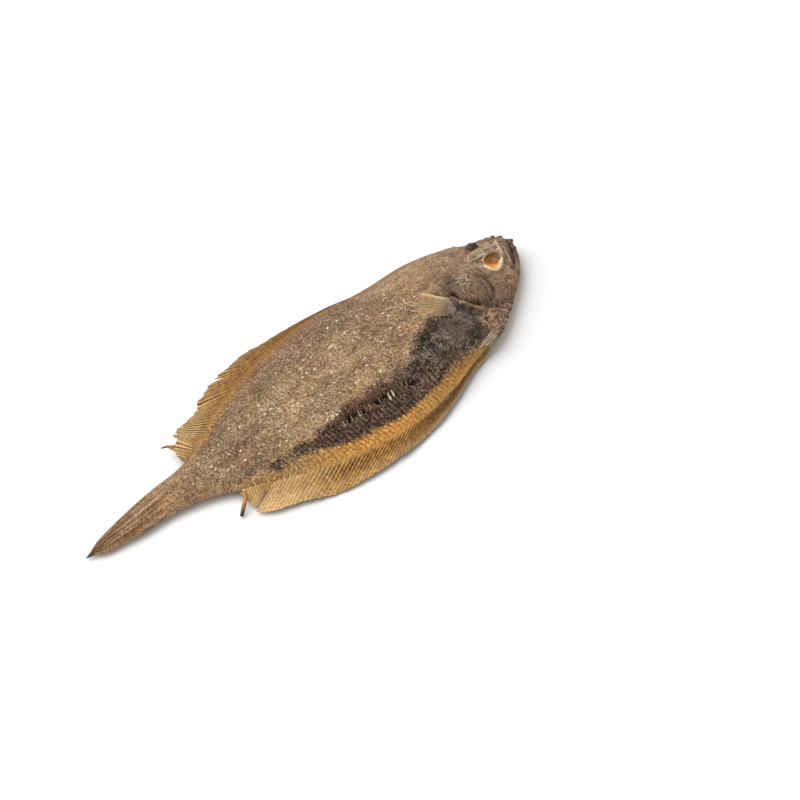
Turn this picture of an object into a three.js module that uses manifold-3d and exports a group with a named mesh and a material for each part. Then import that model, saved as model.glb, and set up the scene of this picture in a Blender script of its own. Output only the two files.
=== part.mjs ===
// Dried dab: one whole flatfish, dried flat and stiff, lying on its blind side.
// Millimetres, +Z up. +X runs from the tail to the snout, +Y towards the back fin.
import * as THREE from "three";
import { ParametricGeometry } from "three/addons/geometries/ParametricGeometry.js";
import { mergeGeometries, mergeVertices } from "three/addons/utils/BufferGeometryUtils.js";
import Module from "manifold-3d";

const wasm = await Module();
wasm.setup();

// Sections across the fish, from the tail tip to the snout.
// back and belly are the plan points where the flesh ends and a fin or margin begins.
// crown is the height of the top of the section, under the height of its underside,
// and rise the heights of its belly edge and its back edge.
const SECTIONS = [
  { at: "tail tip", back: [-100.5, 9.5], belly: [-100.5, 9.0], crown: 1.3, under: 1.3, rise: [1.3, 1.3] },
  { at: "tail end", back: [-92.6, 11.2], belly: [-94.4, 5.8], crown: 2.8, under: 0.9, rise: [2.0, 2.0] },
  { at: "tail fin", back: [-80.0, 12.9], belly: [-81.5, 2.4], crown: 3.8, under: 0.8, rise: [2.4, 2.4] },
  { at: "tail root", back: [-67.0, 13.9], belly: [-68.0, 0.3], crown: 4.9, under: 0.6, rise: [2.6, 2.7] },
  { at: "tail stalk", back: [-55.0, 13.6], belly: [-55.0, -5.4], crown: 6.4, under: 0.3, rise: [3.0, 3.2] },
  { at: "fin ends", back: [-43.0, 15.8], belly: [-43.0, -14.6], crown: 7.8, under: 0, rise: [3.4, 3.8] },
  { at: "rear body", back: [-27.0, 23.8], belly: [-27.0, -24.6], crown: 9.6, under: 0, rise: [3.6, 4.2] },
  { at: "middle", back: [-8.0, 30.0], belly: [-8.0, -33.4], crown: 11.2, under: 0, rise: [3.6, 4.4] },
  { at: "widest", back: [12.0, 32.6], belly: [12.0, -37.0], crown: 12.4, under: 0, rise: [3.6, 4.5] },
  { at: "front body", back: [31.0, 32.0], belly: [31.0, -35.6], crown: 13.0, under: 0, rise: [3.8, 4.6] },
  { at: "shoulder", back: [48.0, 27.4], belly: [48.0, -31.6], crown: 13.2, under: 0, rise: [4.2, 4.8] },
  { at: "gill", back: [64.0, 25.6], belly: [62.0, -29.0], crown: 13.0, under: 0, rise: [4.6, 5.0] },
  { at: "cheek", back: [78.0, 21.6], belly: [76.0, -21.2], crown: 12.0, under: 0.2, rise: [4.8, 5.0] },
  { at: "eyes", back: [89.0, 14.0], belly: [88.6, -13.0], crown: 10.4, under: 0.6, rise: [4.8, 5.0] },
  { at: "lips", back: [97.4, 9.4], belly: [97.0, -4.6], crown: 8.0, under: 1.6, rise: [4.9, 5.0] },
  { at: "snout", back: [101.0, 5.2], belly: [100.8, 1.6], crown: 5.0, under: 5.0, rise: [5.0, 5.0] },
];
const SNOUT = SECTIONS.length - 1;

// The two long fins. A ray is the section its base is at and the plan vector from there
// to its tip. start and end are the sections between which the fin stands out.
const BACK_FIN = {
  rays: [
    [4.3, -3.5, 5.2], [4.6, -1.8, 5.6], [4.78, -4.2, 9.6], [4.93, -0.8, 9.6], [5.05, -2.7, 12.7],
    [5.5, -7.6, 9.4], [6, -13.3, 4.8], [6.5, -14.1, 3.7], [6.62, -13.4, 5.7], [7.3, -16.7, 6.2],
    [8, -15, 6.6], [9, -11, 4.2], [10, -6, 2.1], [11, -2.5, 0.9], [13, -1, 0.8],
  ],
  start: 4.3,
  end: 13.2,
  tipRise: 4.0,
};
const BELLY_FIN = {
  rays: [
    [4.45, -2, -4], [4.68, -3.4, -7], [4.88, -3.4, -5.4], [5, -2, -2.4], [5.1, -1, -0.6],
    [5.27, -0.8, -0.2], [5.315, -13.4, -3.2], [5.6, -14.4, -4.7], [6.1, -14.8, -4.2], [7, -17, -4.6],
    [8, -15, -5.2], [9, -12.5, -5], [9.5, -9, -3.4], [10, -4, -0.8], [10.6, -1, 0],
  ],
  start: 4.45,
  end: 10.6,
  tipRise: 1.5,
};
const MARGIN = 0.8; // edge left where no fin stands out, narrowing to the tail tip
const FIN_THICK = 1.0; // at the base, thinning to the edge
const RAY_RELIEF = 0.22; // rays stand this proud of the membrane on each face
const FIN_WAVE = 0.5; // rise and fall of the fin edge
const WAVES_A_SECTION = 0.55;
const FRAY = 0.07; // share of a ray's length lost at the ragged edge
const FIN_EDGE_RUN = 0.3; // sections over which a fin grows from its margin

// Torn places in the fins: the section where the tear is centred, its half width
// in sections, and the share of the ray lost there.
const BACK_TEARS = [{ at: 5.75, half: 0.07, loss: 0.12 }, { at: 7.28, half: 0.07, loss: 0.22 }];
const BELLY_TEARS = [{ at: 7.9, half: 0.06, loss: 0.12 }];

// The flesh is a dome, hollowed along the belly between the sections named here.
const DOME_POWER = 2.5;
const HOLLOW = 0.27; // of the dome's height
const HOLLOW_LIP = [-0.68, -0.57]; // across the body: -1 at the belly edge, 1 at the back edge
const HOLLOW_OUTER = [-1, -0.86];
const HOLLOW_SPAN = [6.2, 7.0, 8.7, 9.4];
const UNDER_FLAT = 0.35; // share of the half width that lies flat on the ground
const TAIL_RIDGE = 0.3;
const TAIL_RIDGE_SPAN = [0.5, 1.5, 3.2, 4.2];

// How the surface is divided: columns from tail to snout, rows from belly to back.
const TAIL_COLUMNS = 18;
const FIN_COLUMNS = 118;
const HEAD_COLUMNS = 24;
const TAIL_END = 4.3;
const HEAD_START = 11.0;
const FIN_ROWS = 3;
const BODY_ROWS = [-1, HOLLOW_OUTER[1], ...HOLLOW_LIP, -0.33, 0, 0.35, 0.66, 0.87, 1];

// The head, as plan points with the heights of what stands on it.
const EYE = { x: 84.2, y: -5.2, rise: 10.6, radius: [4.5, 3.6, 3.4], turn: 0.6, rim: 0.9 };
const UPPER_EYE = { x: 86.4, y: 7.8, rise: 8.8, radius: [2.5, 2.1, 1.8], turn: -0.4 };
const BROW = { x: 87.6, y: 2.4, rise: 9.0, radius: [7.6, 1.7, 2.2], turn: -0.24 };
const CHEEK = { x: 65.6, y: -11.2, rise: 9.5, radius: [5.9, 10.6, 3.9], turn: -0.37 };
const GILL_SLIT = [
  [61.3, -4.5], [59.8, -9.0], [60.2, -14.0], [62.8, -18.5], [67.0, -20.8], [71.2, -21.2], [75.4, -20.6],
];
const MOUTH_SLIT = [[100.6, 4.2], [98.6, 1.2], [94.7, -4.0], [90.8, -8.0]];
const SLIT_RADIUS = 0.7;
const BREAST_FIN = {
  x: 55.7, y: -14.6, length: 19.5, taper: 0.16, spread: 0.6, turn: 2.01, rays: 6, thick: 1.2, proud: 0.9,
};
const THROAT_FIN = { x: 61.5, y: -28.4, length: 10.5, width: 2.6, turn: -2.9, rise: 4.2, thick: 1.4 };

// Value at t of rows that each start with their own place, on straight lines between them.
function between(rows, value, t) {
  const next = rows.findIndex(([place]) => place > t);
  if (next === 0) return rows[0][value];
  if (next < 0) return rows.at(-1)[value];
  const [from, to] = [rows[next - 1], rows[next]];
  return mix(from[value], to[value], (t - from[0]) / (to[0] - from[0]));
}

// Value at t of evenly spaced knots, on a Catmull-Rom spline.
function along(knots, t) {
  const last = knots.length - 1;
  const i = Math.min(Math.max(Math.floor(t), 0), last - 1);
  const f = t - i;
  const a = knots[Math.max(i - 1, 0)];
  const [b, c] = [knots[i], knots[i + 1]];
  const d = knots[Math.min(i + 2, last)];
  const slopeB = (c - a) / 2;
  const slopeC = (d - b) / 2;
  const cubic = 2 * (b - c) + slopeB + slopeC;
  const square = 3 * (c - b) - 2 * slopeB - slopeC;
  return ((cubic * f + square) * f + slopeB) * f + b;
}

const column = (key, axis) => SECTIONS.map((s) => (axis === undefined ? s[key] : s[key][axis]));
const KNOTS = {
  backX: column("back", 0),
  backY: column("back", 1),
  bellyX: column("belly", 0),
  bellyY: column("belly", 1),
  crown: column("crown"),
  under: column("under"),
  bellyRise: column("rise", 0),
  backRise: column("rise", 1),
};
const smooth = THREE.MathUtils.smoothstep;
const mix = THREE.MathUtils.lerp;
const span = ([a, b, c, d], t) => smooth(t, a, b) * (1 - smooth(t, c, d));

// A repeatable fraction from a whole number, for what is ragged.
const ragged = (n) => {
  const s = Math.sin(n * 12.9898) * 43758.5453;
  return s - Math.floor(s);
};

// Section number of a column, closest together where the fins are.
function sectionAt(i) {
  if (i <= TAIL_COLUMNS) return (TAIL_END * i) / TAIL_COLUMNS;
  const fromTail = i - TAIL_COLUMNS;
  if (fromTail <= FIN_COLUMNS) return mix(TAIL_END, HEAD_START, fromTail / FIN_COLUMNS);
  return mix(HEAD_START, SNOUT, Math.sin(((fromTail - FIN_COLUMNS) / HEAD_COLUMNS) * (Math.PI / 2)));
}
const COLUMNS = TAIL_COLUMNS + FIN_COLUMNS + HEAD_COLUMNS;
const ROWS = BODY_ROWS.length - 1 + 2 * FIN_ROWS;

// How far a fin has grown from its margin at section t: none, 0, to all, 1.
const standing = ({ start, end }, t) => span([start, start + FIN_EDGE_RUN, end - FIN_EDGE_RUN, end], t);

// Half the thickness of the edge of the flesh, which thins out at the tail tip and the snout.
const halfEdge = (t) => (FIN_THICK / 2) * (1 - smooth(t, SNOUT - 0.5, SNOUT)) * smooth(t, 0, 0.5);

// Plan vector from a fin's base to its edge, at a column of section t.
function finReach(fin, tears, outward, t, i) {
  const ray = [1, 2].map((value) => between(fin.rays, value, t));
  let share = standing(fin, t) * (1 - FRAY * ragged(i));
  for (const { at, half, loss } of tears) share *= 1 - loss * Math.max(0, 1 - Math.abs(t - at) / half);
  return [share * ray[0], share * ray[1] + outward * MARGIN * smooth(t, 0, 1)];
}

// Height of the flesh over the line between its edges, as a share, at v across it.
function fleshProfile(t, v) {
  const dome = 1 - Math.abs(v) ** DOME_POWER;
  const hollow = smooth(v, ...HOLLOW_OUTER) * (1 - smooth(v, ...HOLLOW_LIP)) * span(HOLLOW_SPAN, t);
  return Math.max(dome - HOLLOW * hollow, 0);
}

// The point at column i and row j, on the top sheet (side 1) or the bottom one (side -1).
function surface(i, j, side, target) {
  const t = sectionAt(i);
  const k = Object.fromEntries(Object.entries(KNOTS).map(([name, knots]) => [name, along(knots, t)]));
  const bodyRow = j - FIN_ROWS;
  if (bodyRow >= 0 && bodyRow < BODY_ROWS.length) {
    const v = BODY_ROWS[bodyRow];
    const s = (v + 1) / 2;
    const edge = mix(k.bellyRise, k.backRise, s);
    const half = halfEdge(t);
    const ridge = TAIL_RIDGE * (bodyRow % 2) * span(TAIL_RIDGE_SPAN, t);
    const top = edge + half + Math.max(k.crown - edge - half, 0) * fleshProfile(t, v) + ridge;
    const lift = Math.max(v * v - UNDER_FLAT ** 2, 0) / (1 - UNDER_FLAT ** 2);
    const bottom = mix(Math.max(k.under, 0), edge - half, lift);
    return target.set(mix(k.bellyX, k.backX, s), mix(k.bellyY, k.backY, s), side > 0 ? top : bottom);
  }
  const onBack = bodyRow > 0;
  const fin = onBack ? BACK_FIN : BELLY_FIN;
  const out = (onBack ? bodyRow - BODY_ROWS.length + 1 : -bodyRow) / FIN_ROWS;
  const [dx, dy] = finReach(fin, onBack ? BACK_TEARS : BELLY_TEARS, onBack ? 1 : -1, t, i);
  const rise = onBack ? k.backRise : k.bellyRise;
  const stands = standing(fin, t);
  const wave = FIN_WAVE * Math.sin(2 * Math.PI * WAVES_A_SECTION * t) * stands;
  const middle = rise + (fin.tipRise - rise + wave) * out * stands;
  const half = halfEdge(t) * (1 - out);
  const ray = RAY_RELIEF * (i % 2) * Math.sin(Math.PI * out) * stands;
  return target.set(
    (onBack ? k.backX : k.bellyX) + dx * out,
    (onBack ? k.backY : k.bellyY) + dy * out,
    middle + side * (half + ray),
  );
}

// One sheet of the fish, as a grid of columns and rows.
function sheet(side) {
  const at = (u, v, target) => surface(Math.round(v * COLUMNS), Math.round(u * ROWS), side, target);
  const geometry = new ParametricGeometry(at, ROWS, COLUMNS);
  if (side > 0) turnInsideOut(geometry);
  return geometry;
}

function turnInsideOut(geometry) {
  const order = geometry.index.array;
  for (let i = 0; i < order.length; i += 3) [order[i + 1], order[i + 2]] = [order[i + 2], order[i + 1]];
}

// A closed geometry as a solid, with shared corners merged and collapsed faces dropped.
function solidOf(geometry) {
  for (const name of ["normal", "uv"]) geometry.deleteAttribute(name);
  const merged = mergeVertices(geometry, 1e-3);
  const corners = merged.index.array;
  const kept = [];
  for (let i = 0; i < corners.length; i += 3) {
    const [a, b, c] = corners.slice(i, i + 3);
    if (a !== b && b !== c && a !== c) kept.push(a, b, c);
  }
  const vertProperties = merged.attributes.position.array;
  return new wasm.Manifold(new wasm.Mesh({ numProp: 3, vertProperties, triVerts: new Uint32Array(kept) }));
}

function geometryOf(solid) {
  const mesh = solid.getMesh();
  return new THREE.BufferGeometry()
    .setAttribute("position", new THREE.BufferAttribute(mesh.vertProperties, 3))
    .setIndex(new THREE.BufferAttribute(mesh.triVerts, 1));
}

// An ellipsoid standing at a plan point.
function bead({ x, y, rise, radius, turn = 0 }, grow = 0) {
  const geometry = new THREE.SphereGeometry(1, 14, 10);
  geometry.scale(...radius.map((r) => r + grow));
  return solidOf(geometry.rotateZ(turn).translate(x, y, rise));
}

// Height of the top of the body over a plan point.
function topAt(x, y) {
  const ray = new THREE.Raycaster(new THREE.Vector3(x, y, 50), new THREE.Vector3(0, 0, -1));
  const [hit] = ray.intersectObject(SURFACE);
  return hit ? hit.point.z : KNOTS.backRise.at(-1);
}

// A round groove that follows plan points along the top of the head.
function groove(points) {
  const path = new THREE.CatmullRomCurve3(points.map(([x, y]) => new THREE.Vector3(x, y, topAt(x, y))));
  const section = new THREE.Shape().absarc(0, 0, SLIT_RADIUS, 0, 2 * Math.PI);
  return solidOf(new THREE.ExtrudeGeometry(section, { extrudePath: path, steps: 12, curveSegments: 3 }));
}

// The breast fin: a fan of rays laid on the flank behind the gill.
function breastFin({ x, y, length, taper, spread, turn, rays, thick, proud }) {
  const outline = new THREE.Shape().moveTo(0, 0);
  for (let n = 0; n <= 2 * rays; n++) {
    const angle = (n / (2 * rays) - 0.5) * spread;
    const reach = length * (n % 2 ? 1 : 0.93) * (1 - taper * (n / (2 * rays)));
    outline.lineTo(reach * Math.cos(angle), reach * Math.sin(angle));
  }
  const fan = new THREE.ExtrudeGeometry(outline, { depth: thick, bevelEnabled: false });
  const base = topAt(x, y);
  const tip = topAt(x + length * Math.cos(turn), y + length * Math.sin(turn));
  const tilt = Math.atan2(tip - base, length);
  return solidOf(fan.rotateY(-tilt).rotateZ(turn).translate(x, y, base + proud - thick));
}

// The small fin at the throat: a leaf with a pointed end.
function throatFin({ x, y, length, width, turn, rise, thick }) {
  const outline = new THREE.Shape()
    .moveTo(-2, 0)
    .quadraticCurveTo(length / 3, width, length, 0)
    .quadraticCurveTo(length / 3, -width / 2, -2, 0);
  const leaf = new THREE.ExtrudeGeometry(outline, { depth: thick, bevelEnabled: false, curveSegments: 5 });
  return solidOf(leaf.rotateZ(turn).translate(x, y, rise));
}

// The body with the round forms of its head.
const body = solidOf(mergeGeometries([sheet(1), sheet(-1)]))
  .add(bead(CHEEK))
  .add(bead(BROW))
  .add(bead({ ...EYE, rise: EYE.rise - EYE.radius[2] }, EYE.rim))
  .subtract(bead(EYE))
  .add(bead(UPPER_EYE));
const SURFACE = new THREE.Mesh(geometryOf(body));

// What is laid on that surface or cut into it.
const fish = body
  .subtract(groove(GILL_SLIT))
  .subtract(groove(MOUTH_SLIT))
  .add(breastFin(BREAST_FIN))
  .add(throatFin(THROAT_FIN));

// Stand the fish on z = 0, with the middle of its plan over the origin.
const geometry = geometryOf(fish);
geometry.computeBoundingBox();
const box = geometry.boundingBox;
const middle = box.getCenter(new THREE.Vector3());
geometry.translate(-middle.x, -middle.y, -box.min.z);
geometry.computeVertexNormals();

const skin = new THREE.MeshStandardMaterial({ color: 0x7a6450, roughness: 0.75, metalness: 0 });
const driedDab = new THREE.Mesh(geometry, skin);
driedDab.name = "dried_dab";

const part = new THREE.Group();
part.add(driedDab);
export default part;
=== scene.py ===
# Looks of a dried dab: a whole flatfish, dried flat and stiff, lying on its blind side.
import math

import bpy
import numpy as np
from mathutils import Matrix, Vector
from mathutils.bvhtree import BVHTree


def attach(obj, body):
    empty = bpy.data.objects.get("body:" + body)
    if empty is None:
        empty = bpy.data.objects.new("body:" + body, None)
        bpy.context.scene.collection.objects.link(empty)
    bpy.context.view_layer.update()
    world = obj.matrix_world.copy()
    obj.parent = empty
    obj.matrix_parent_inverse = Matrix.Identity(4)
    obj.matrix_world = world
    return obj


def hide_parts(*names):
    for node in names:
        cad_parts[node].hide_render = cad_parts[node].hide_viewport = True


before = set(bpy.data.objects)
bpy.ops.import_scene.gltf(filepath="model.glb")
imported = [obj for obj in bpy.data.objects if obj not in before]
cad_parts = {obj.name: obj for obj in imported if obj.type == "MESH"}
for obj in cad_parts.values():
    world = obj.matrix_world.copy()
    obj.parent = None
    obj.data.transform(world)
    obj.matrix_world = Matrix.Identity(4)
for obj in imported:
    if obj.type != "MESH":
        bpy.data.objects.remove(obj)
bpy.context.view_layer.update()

MM = 0.001
FULL_TURN = 2 * math.pi

# The plan is drawn in millimetres, +X to the snout and +Y to the back fin.
# PLAN_MIDDLE is the point of the drawing that lies over the frame's origin.
PLAN_MIDDLE = np.array([0.2435, -1.5561, 0])
# Width in metres of the square that the fish's texture map covers.
MAP_WIDTH = 0.206
# Heights in mm from which the fish's top is looked for: over all of it, and near its edge.
HIGH_ABOVE, NEAR_EDGE = 60, 5
# Angle in degrees from which a fold between two faces is drawn sharp.
SHARP_ANGLE = 60

# Sections across the fish: name, back edge x y, belly edge x y, crown, underside, belly rise, back rise.
SECTIONS = [
    ("tail tip", -100.5, 9.5, -100.5, 9, 1.3, 1.3, 1.3, 1.3),
    ("tail end", -92.6, 11.2, -94.4, 5.8, 2.8, 0.9, 2, 2),
    ("tail fin", -80, 12.9, -81.5, 2.4, 3.8, 0.8, 2.4, 2.4),
    ("tail root", -67, 13.9, -68, 0.3, 4.9, 0.6, 2.6, 2.7),
    ("tail stalk", -55, 13.6, -55, -5.4, 6.4, 0.3, 3, 3.2),
    ("fin ends", -43, 15.8, -43, -14.6, 7.8, 0, 3.4, 3.8),
    ("rear body", -27, 23.8, -27, -24.6, 9.6, 0, 3.6, 4.2),
    ("middle", -8, 30, -8, -33.4, 11.2, 0, 3.6, 4.4),
    ("widest", 12, 32.6, 12, -37, 12.4, 0, 3.6, 4.5),
    ("front body", 31, 32, 31, -35.6, 13, 0, 3.8, 4.6),
    ("shoulder", 48, 27.4, 48, -31.6, 13.2, 0, 4.2, 4.8),
    ("gill", 64, 25.6, 62, -29, 13, 0, 4.6, 5),
    ("cheek", 78, 21.6, 76, -21.2, 12, 0.2, 4.8, 5),
    ("eyes", 89, 14, 88.6, -13, 10.4, 0.6, 4.8, 5),
    ("lips", 97.4, 9.4, 97, -4.6, 8, 1.6, 4.9, 5),
    ("snout", 101, 5.2, 100.8, 1.6, 5, 5, 5, 5),
]
FIELDS = ("back_x", "back_y", "belly_x", "belly_y", "crown", "under", "belly_rise", "back_rise")
KNOTS = dict(zip(FIELDS, list(zip(*SECTIONS))[1:]))
SNOUT = len(SECTIONS) - 1
# How much narrower the tail is just before its tip, at which section and over what half width.
TIP_PINCH, PINCH_AT, PINCH_WIDTH = 0.4, 0.4, 0.3

# The long fins. A ray is the section of its base and the plan vector from there to its tip. A tear is
# its section, its half width and the share of the ray that it takes.
BACK_FIN = {
    "rays": [(4.3, -3.5, 5.2), (4.45, -3, 5.2), (4.6, -1.8, 5.6), (4.78, -4.2, 9.6), (4.93, -0.8, 9.6),
             (5.05, -2.7, 12.7), (5.5, -7.6, 9.4), (6, -13.3, 4.8), (6.3, -13.4, 3.4), (6.5, -14.1, 3.7),
             (6.62, -13.4, 5.7), (7, -16, 5.5), (7.3, -16.7, 6.2), (7.6, -13.6, 6.4), (8, -15, 6.6),
             (8.5, -12.6, 5.3), (9, -11, 4.2), (10, -6, 2.1), (11, -2.5, 0.9), (12, -1.5, 0.9),
             (13, -1, 0.8)],
    "tears": [(5.3, 0.06, 0.1), (5.75, 0.05, 0.12), (6.45, 0.05, 0.14), (7.28, 0.05, 0.25)],
    "start": 4.3, "end": 13.2, "tip_rise": 4, "count": 96, "outward": 1,
    "fray": 0.09, "notch": 0.03, "relief": 0.2,
}
BELLY_FIN = {
    "rays": [(4.45, -2, -4), (4.68, -3.4, -7), (4.88, -3.4, -5.4), (5, -2, -2.4), (5.1, -1, -0.6),
             (5.285, -0.8, -0.2), (5.3, -13.4, -3.2), (5.6, -14.4, -4.7), (6.1, -14.8, -4.2), (7, -17, -4.6),
             (8, -15, -5.2), (9, -12.5, -5), (9.5, -9, -3.4), (10, -4, -0.8), (10.6, -1, 0)],
    "tears": [(7.9, 0.05, 0.12)],
    "start": 4.45, "end": 10.6, "tip_rise": 1.5, "count": 70, "outward": -1,
    "fray": 0.035, "notch": 0.015, "relief": 0.28,
}
# Extra rays crowded in at the rear of each long fin, over that many sections.
CROWD, CROWD_RUN = 5, 1.3
# In mm: the rim of skin round the flesh, the fins' thickness and the height of their waves.
MARGIN, FIN_THICK, FIN_WAVE = 0.8, 1, 0.5
# Sections over which a fin grows at its start and ends at its end, and waves of its edge in a section.
FIN_EDGE_RUN, WAVES_A_SECTION = 0.3, 0.55

# The flesh: a dome hollowed along the belly, below a lip. Curves over the flesh are given as
# section and place across, from -1 at the belly edge to 1 at the back edge.
DOME_POWER = 2.5
# Depth of the hollow as a share of the dome, and the places across between which it starts.
HOLLOW, HOLLOW_OUTER = 0.22, (-0.97, -0.84)
LIP = [(5, -0.66), (6.3, -0.58), (6.85, -0.535), (7.2, -0.515), (7.65, -0.53), (7.95, -0.545), (8.3, -0.59),
       (8.7, -0.65), (9.2, -0.7), (11, -0.74)]
# Half widths across of the step at the lip and of the flat underside, and the top's least height in mm.
LIP_HALF, UNDER_FLAT, LEAST_TOP = 0.05, 0.35, 0.15
# Lower and upper edges of the dark stain over the belly.
STAIN_LOW = [(5.2, -0.82), (5.4, -0.88), (5.6, -0.86), (5.8, -0.81), (6.1, -0.79), (6.47, -0.79),
             (6.8, -0.82), (7.4, -0.85), (7.7, -0.86), (8, -0.87), (8.4, -0.84), (8.7, -0.84), (9.24, -0.85),
             (9.6, -0.89), (10, -0.94), (10.8, -0.98)]
STAIN_HIGH = [(5.2, -0.76), (5.6, -0.68), (5.96, -0.64), (6.31, -0.58), (6.7, -0.57), (6.95, -0.47),
              (7.2, -0.42), (7.5, -0.42), (8.1, -0.46), (8.6, -0.48), (8.92, -0.49), (9.12, -0.4),
              (9.5, -0.34), (9.9, -0.31), (10.3, -0.28), (10.6, -0.33), (10.8, -0.5), (11, -0.64),
              (11.3, -0.72), (11.65, -0.85), (12, -0.95)]

# Sections between which something grows, and those between which it ends.
SPANS = {
    "hollow": (6.2, 7, 8.7, 9.4), "lip": (6.6, 6.95, 8.6, 9), "crack": (6.85, 7, 8.45, 8.75),
    "scorched": (6.85, 7.05, 7.6, 7.95), "rusty lip": (7.4, 7.8, 8.2, 8.6), "ribs": (5.6, 6.6, 9.4, 10.2),
    "band": (5, 5.6, 9, 9.8), "patch": (8, 8.7, 11.4, 12.2), "gold": (4, 5.2, 9.9, 10.4),
    "ridge": (5.4, 6.2, 10, 10.4), "backbone": (3.5, 5, 9, 10.5), "dark back": (5.5, 7, 9.4, 10.4),
    "back edge": (4.2, 4.8, 9.5, 10.5), "tail ridges": (0.2, 1, 2.6, 3.8), "rusty tail": (1.3, 1.8, 2.4, 3),
    "pale tail": (2.4, 2.9, 3.6, 4.4),
}

# Soft spots on the skin: plan point, size in mm and strength. Smudges are added to the tone.
SMUDGES = [(-14, 14.5, 4, -0.35), (8, 10.6, 6, -0.12), (24, -1.5, 6, -0.2), (33.7, -11.6, 5, -0.28),
           (43.3, -2.6, 5, -0.25), (57.5, -5.5, 4.5, -0.3), (4.3, -9.9, 6, -0.15), (2.5, 24.7, 6, 0.3),
           (52, 16.5, 7, 0.15), (76.5, -15.5, 5, -0.16)]
PATCH_DUST = [(33, -21, 5, 0.5), (41.6, -22.7, 3, 0.3), (23.3, -24, 3, 0.25)]
PATCH_DARK = [(51.2, -17.5, 3.2, 0.5)]
# A painted highlight of pale specks on the lit top of the cheek.
CHEEK_HIGHLIGHT = [(67.2, -8.2, 4, 1)]
# Valleys in the dark crumpled skin before the belly, in plan; they are sunk and darkened with painted shade.
PATCH_FOLDS = [[(37.1, -16.3), (40.7, -15.5), (44.8, -14.6), (47.6, -14.6)],
               [(51.9, -25.8), (55.4, -25.4), (58.3, -25.2)], [(29.9, -18.4), (34, -19.1), (37.7, -20.2)]]

# The head, in plan.
EYE = {
    "middle": (84, -5.4), "deep": 4, "bowl": 1.8,
    "rim": [(78.9, -6.4), (79.9, -9.2), (82.6, -9.8), (85.4, -8.6), (87.9, -6.4), (88.9, -3.9), (87.6, -1.8),
            (84.6, -1.7), (81.3, -2.9), (78.9, -6.4)],
}
UPPER_EYE = {"x": 85, "y": 5.9, "radii": (2.1, 1.6, 1.8), "turn": -0.5, "proud": 0.6, "wrinkle": 0.16,
             "seed": 83}
CHEEK = {"x": 66.2, "y": -11.7, "a": 5.4, "b": 8.6, "turn": -0.35, "rise": 1.2, "step": 1.1}
GILL_COVER = {"x": 70, "y": -8, "a": 12.6, "b": 12.9, "turn": 0, "rise": 0.8}
SNOUT_SPOT = {"x": 97.8, "y": -1.8, "a": 1.6, "b": 1.2, "turn": 0.9}
# Spots of painted shadow in the gill slit beside the breast fin's base, in plan.
GILL_SHADOWS = [(65, -0.4), (62.4, -4.6), (59.9, -7.2), (58.2, -9.6)]
BROW_SKIN = [(81, 0.2), (86, 0), (90.6, -0.6)]
THROAT_TOP = -20.9
THROAT_SPAN = (56, 61, 74, 79)

# Lines on the skin, in plan. relief is height and half width in mm. The others are strength and half width:
# dark and broken for painted shade in creases and gaps, whole or with gaps, bone and chips for pale edges,
# and rust.
LINES = {
    "gill gap": {"at": [(59.8, -8.4), (59.4, -11), (60, -13.6), (61.2, -16.4), (62.9, -18.6)],
                 "relief": (-1.5, 0.6), "broken": (1, 0.7)},
    "gill line": {"at": [(62.9, -18.6), (66.4, -20.4), (69.6, -21), (73, -20.9), (77.5, -20.4)],
                  "relief": (-1, 0.5), "broken": (0.6, 0.5)},
    "gill edge": {"at": [(58.4, -10.6), (58.8, -13.4), (60.2, -16.8), (62.6, -20), (66, -21.6), (69.2, -22.3),
                         (71.2, -24)],
                  "relief": (0.4, 0.4), "chips": (0.9, 0.3), "rust": (0.5, 0.8)},
    "cheek fold": {"at": [(73.8, -7.6), (74.4, -11.8), (73.4, -15.1), (71.2, -17.6), (68.2, -18.9)],
                   "relief": (-1.1, 0.8), "dark": (0.5, 1.1)},
    "mouth slit": {"at": [(99.6, 2.8), (97.6, -0.6), (94.7, -5), (91.4, -8.6), (87.6, -11)],
                   "relief": (-1.2, 0.6), "broken": (0.6, 0.6)},
    "eye crease": {"at": [(79.6, -2.2), (81.6, -1.3), (84.2, -0.8)],
                   "relief": (-0.5, 0.5), "dark": (0.7, 0.5)},
    "snout crease": {"at": [(94.2, -3.4), (92.6, -6.2), (90.8, -8.6)],
                     "relief": (-0.6, 0.45), "dark": (0.6, 0.45)},
    "brow": {"at": [(79.6, 2.2), (84, 1.8), (88, 1.5), (92.2, 0.6)],
             "relief": (1.2, 0.55), "bone": (1, 0.5)},
    "brow fall": {"at": [(92.2, 0.6), (91.6, -1.4), (90.5, -3.4), (89.8, -5)],
                  "relief": (1.1, 0.6), "bone": (1, 0.5)},
    "upper brow": {"at": [(83, 3.4), (88, 3.8), (93, 3.2), (97, 2.6)],
                   "relief": (0.7, 0.7), "bone": (0.4, 0.5)},
    "snout fold": {"at": [(93.2, -2), (91.8, -5), (90.6, -7.2), (89.2, -9.2)],
                   "relief": (0.8, 0.5), "bone": (0.6, 0.4)},
    "behind the eye": {"at": [(74.4, 0.8), (76.8, -0.4)],
                       "relief": (0.35, 0.5), "bone": (0.6, 0.4)},
    "under the eye": {"at": [(76.4, -2), (78, -4.4), (78.2, -6.2)],
                      "relief": (0.35, 0.5), "bone": (0.6, 0.4)},
    "side line": {"at": [(2, 10.4), (19.5, 11.8), (25.4, 11.9), (30.8, 10.9), (36.9, 9.7), (47, 4)],
                  "relief": (-0.22, 0.35), "broken": (0.35, 0.3)},
}

# How the surface is divided: sections for the columns and places across for the rows, with the steps from
# each to the next. A place across is -2 at the belly fin's edge, -1 and 1 at the edges of the flesh and 2 at
# the back fin's edge. The underside has one row for every UNDER_STEP rows of the top.
COLUMN_ENDS, COLUMN_STEPS = (0, 4.3, 11, SNOUT), (84, 380, 190)
ROW_ENDS, ROW_STEPS = (-2, -1, -0.68, -0.42, 0.3, 1, 2), (12, 12, 30, 34, 20, 12)
HEAD_EASE = 1.25
UNDER_STEP = 6

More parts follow.
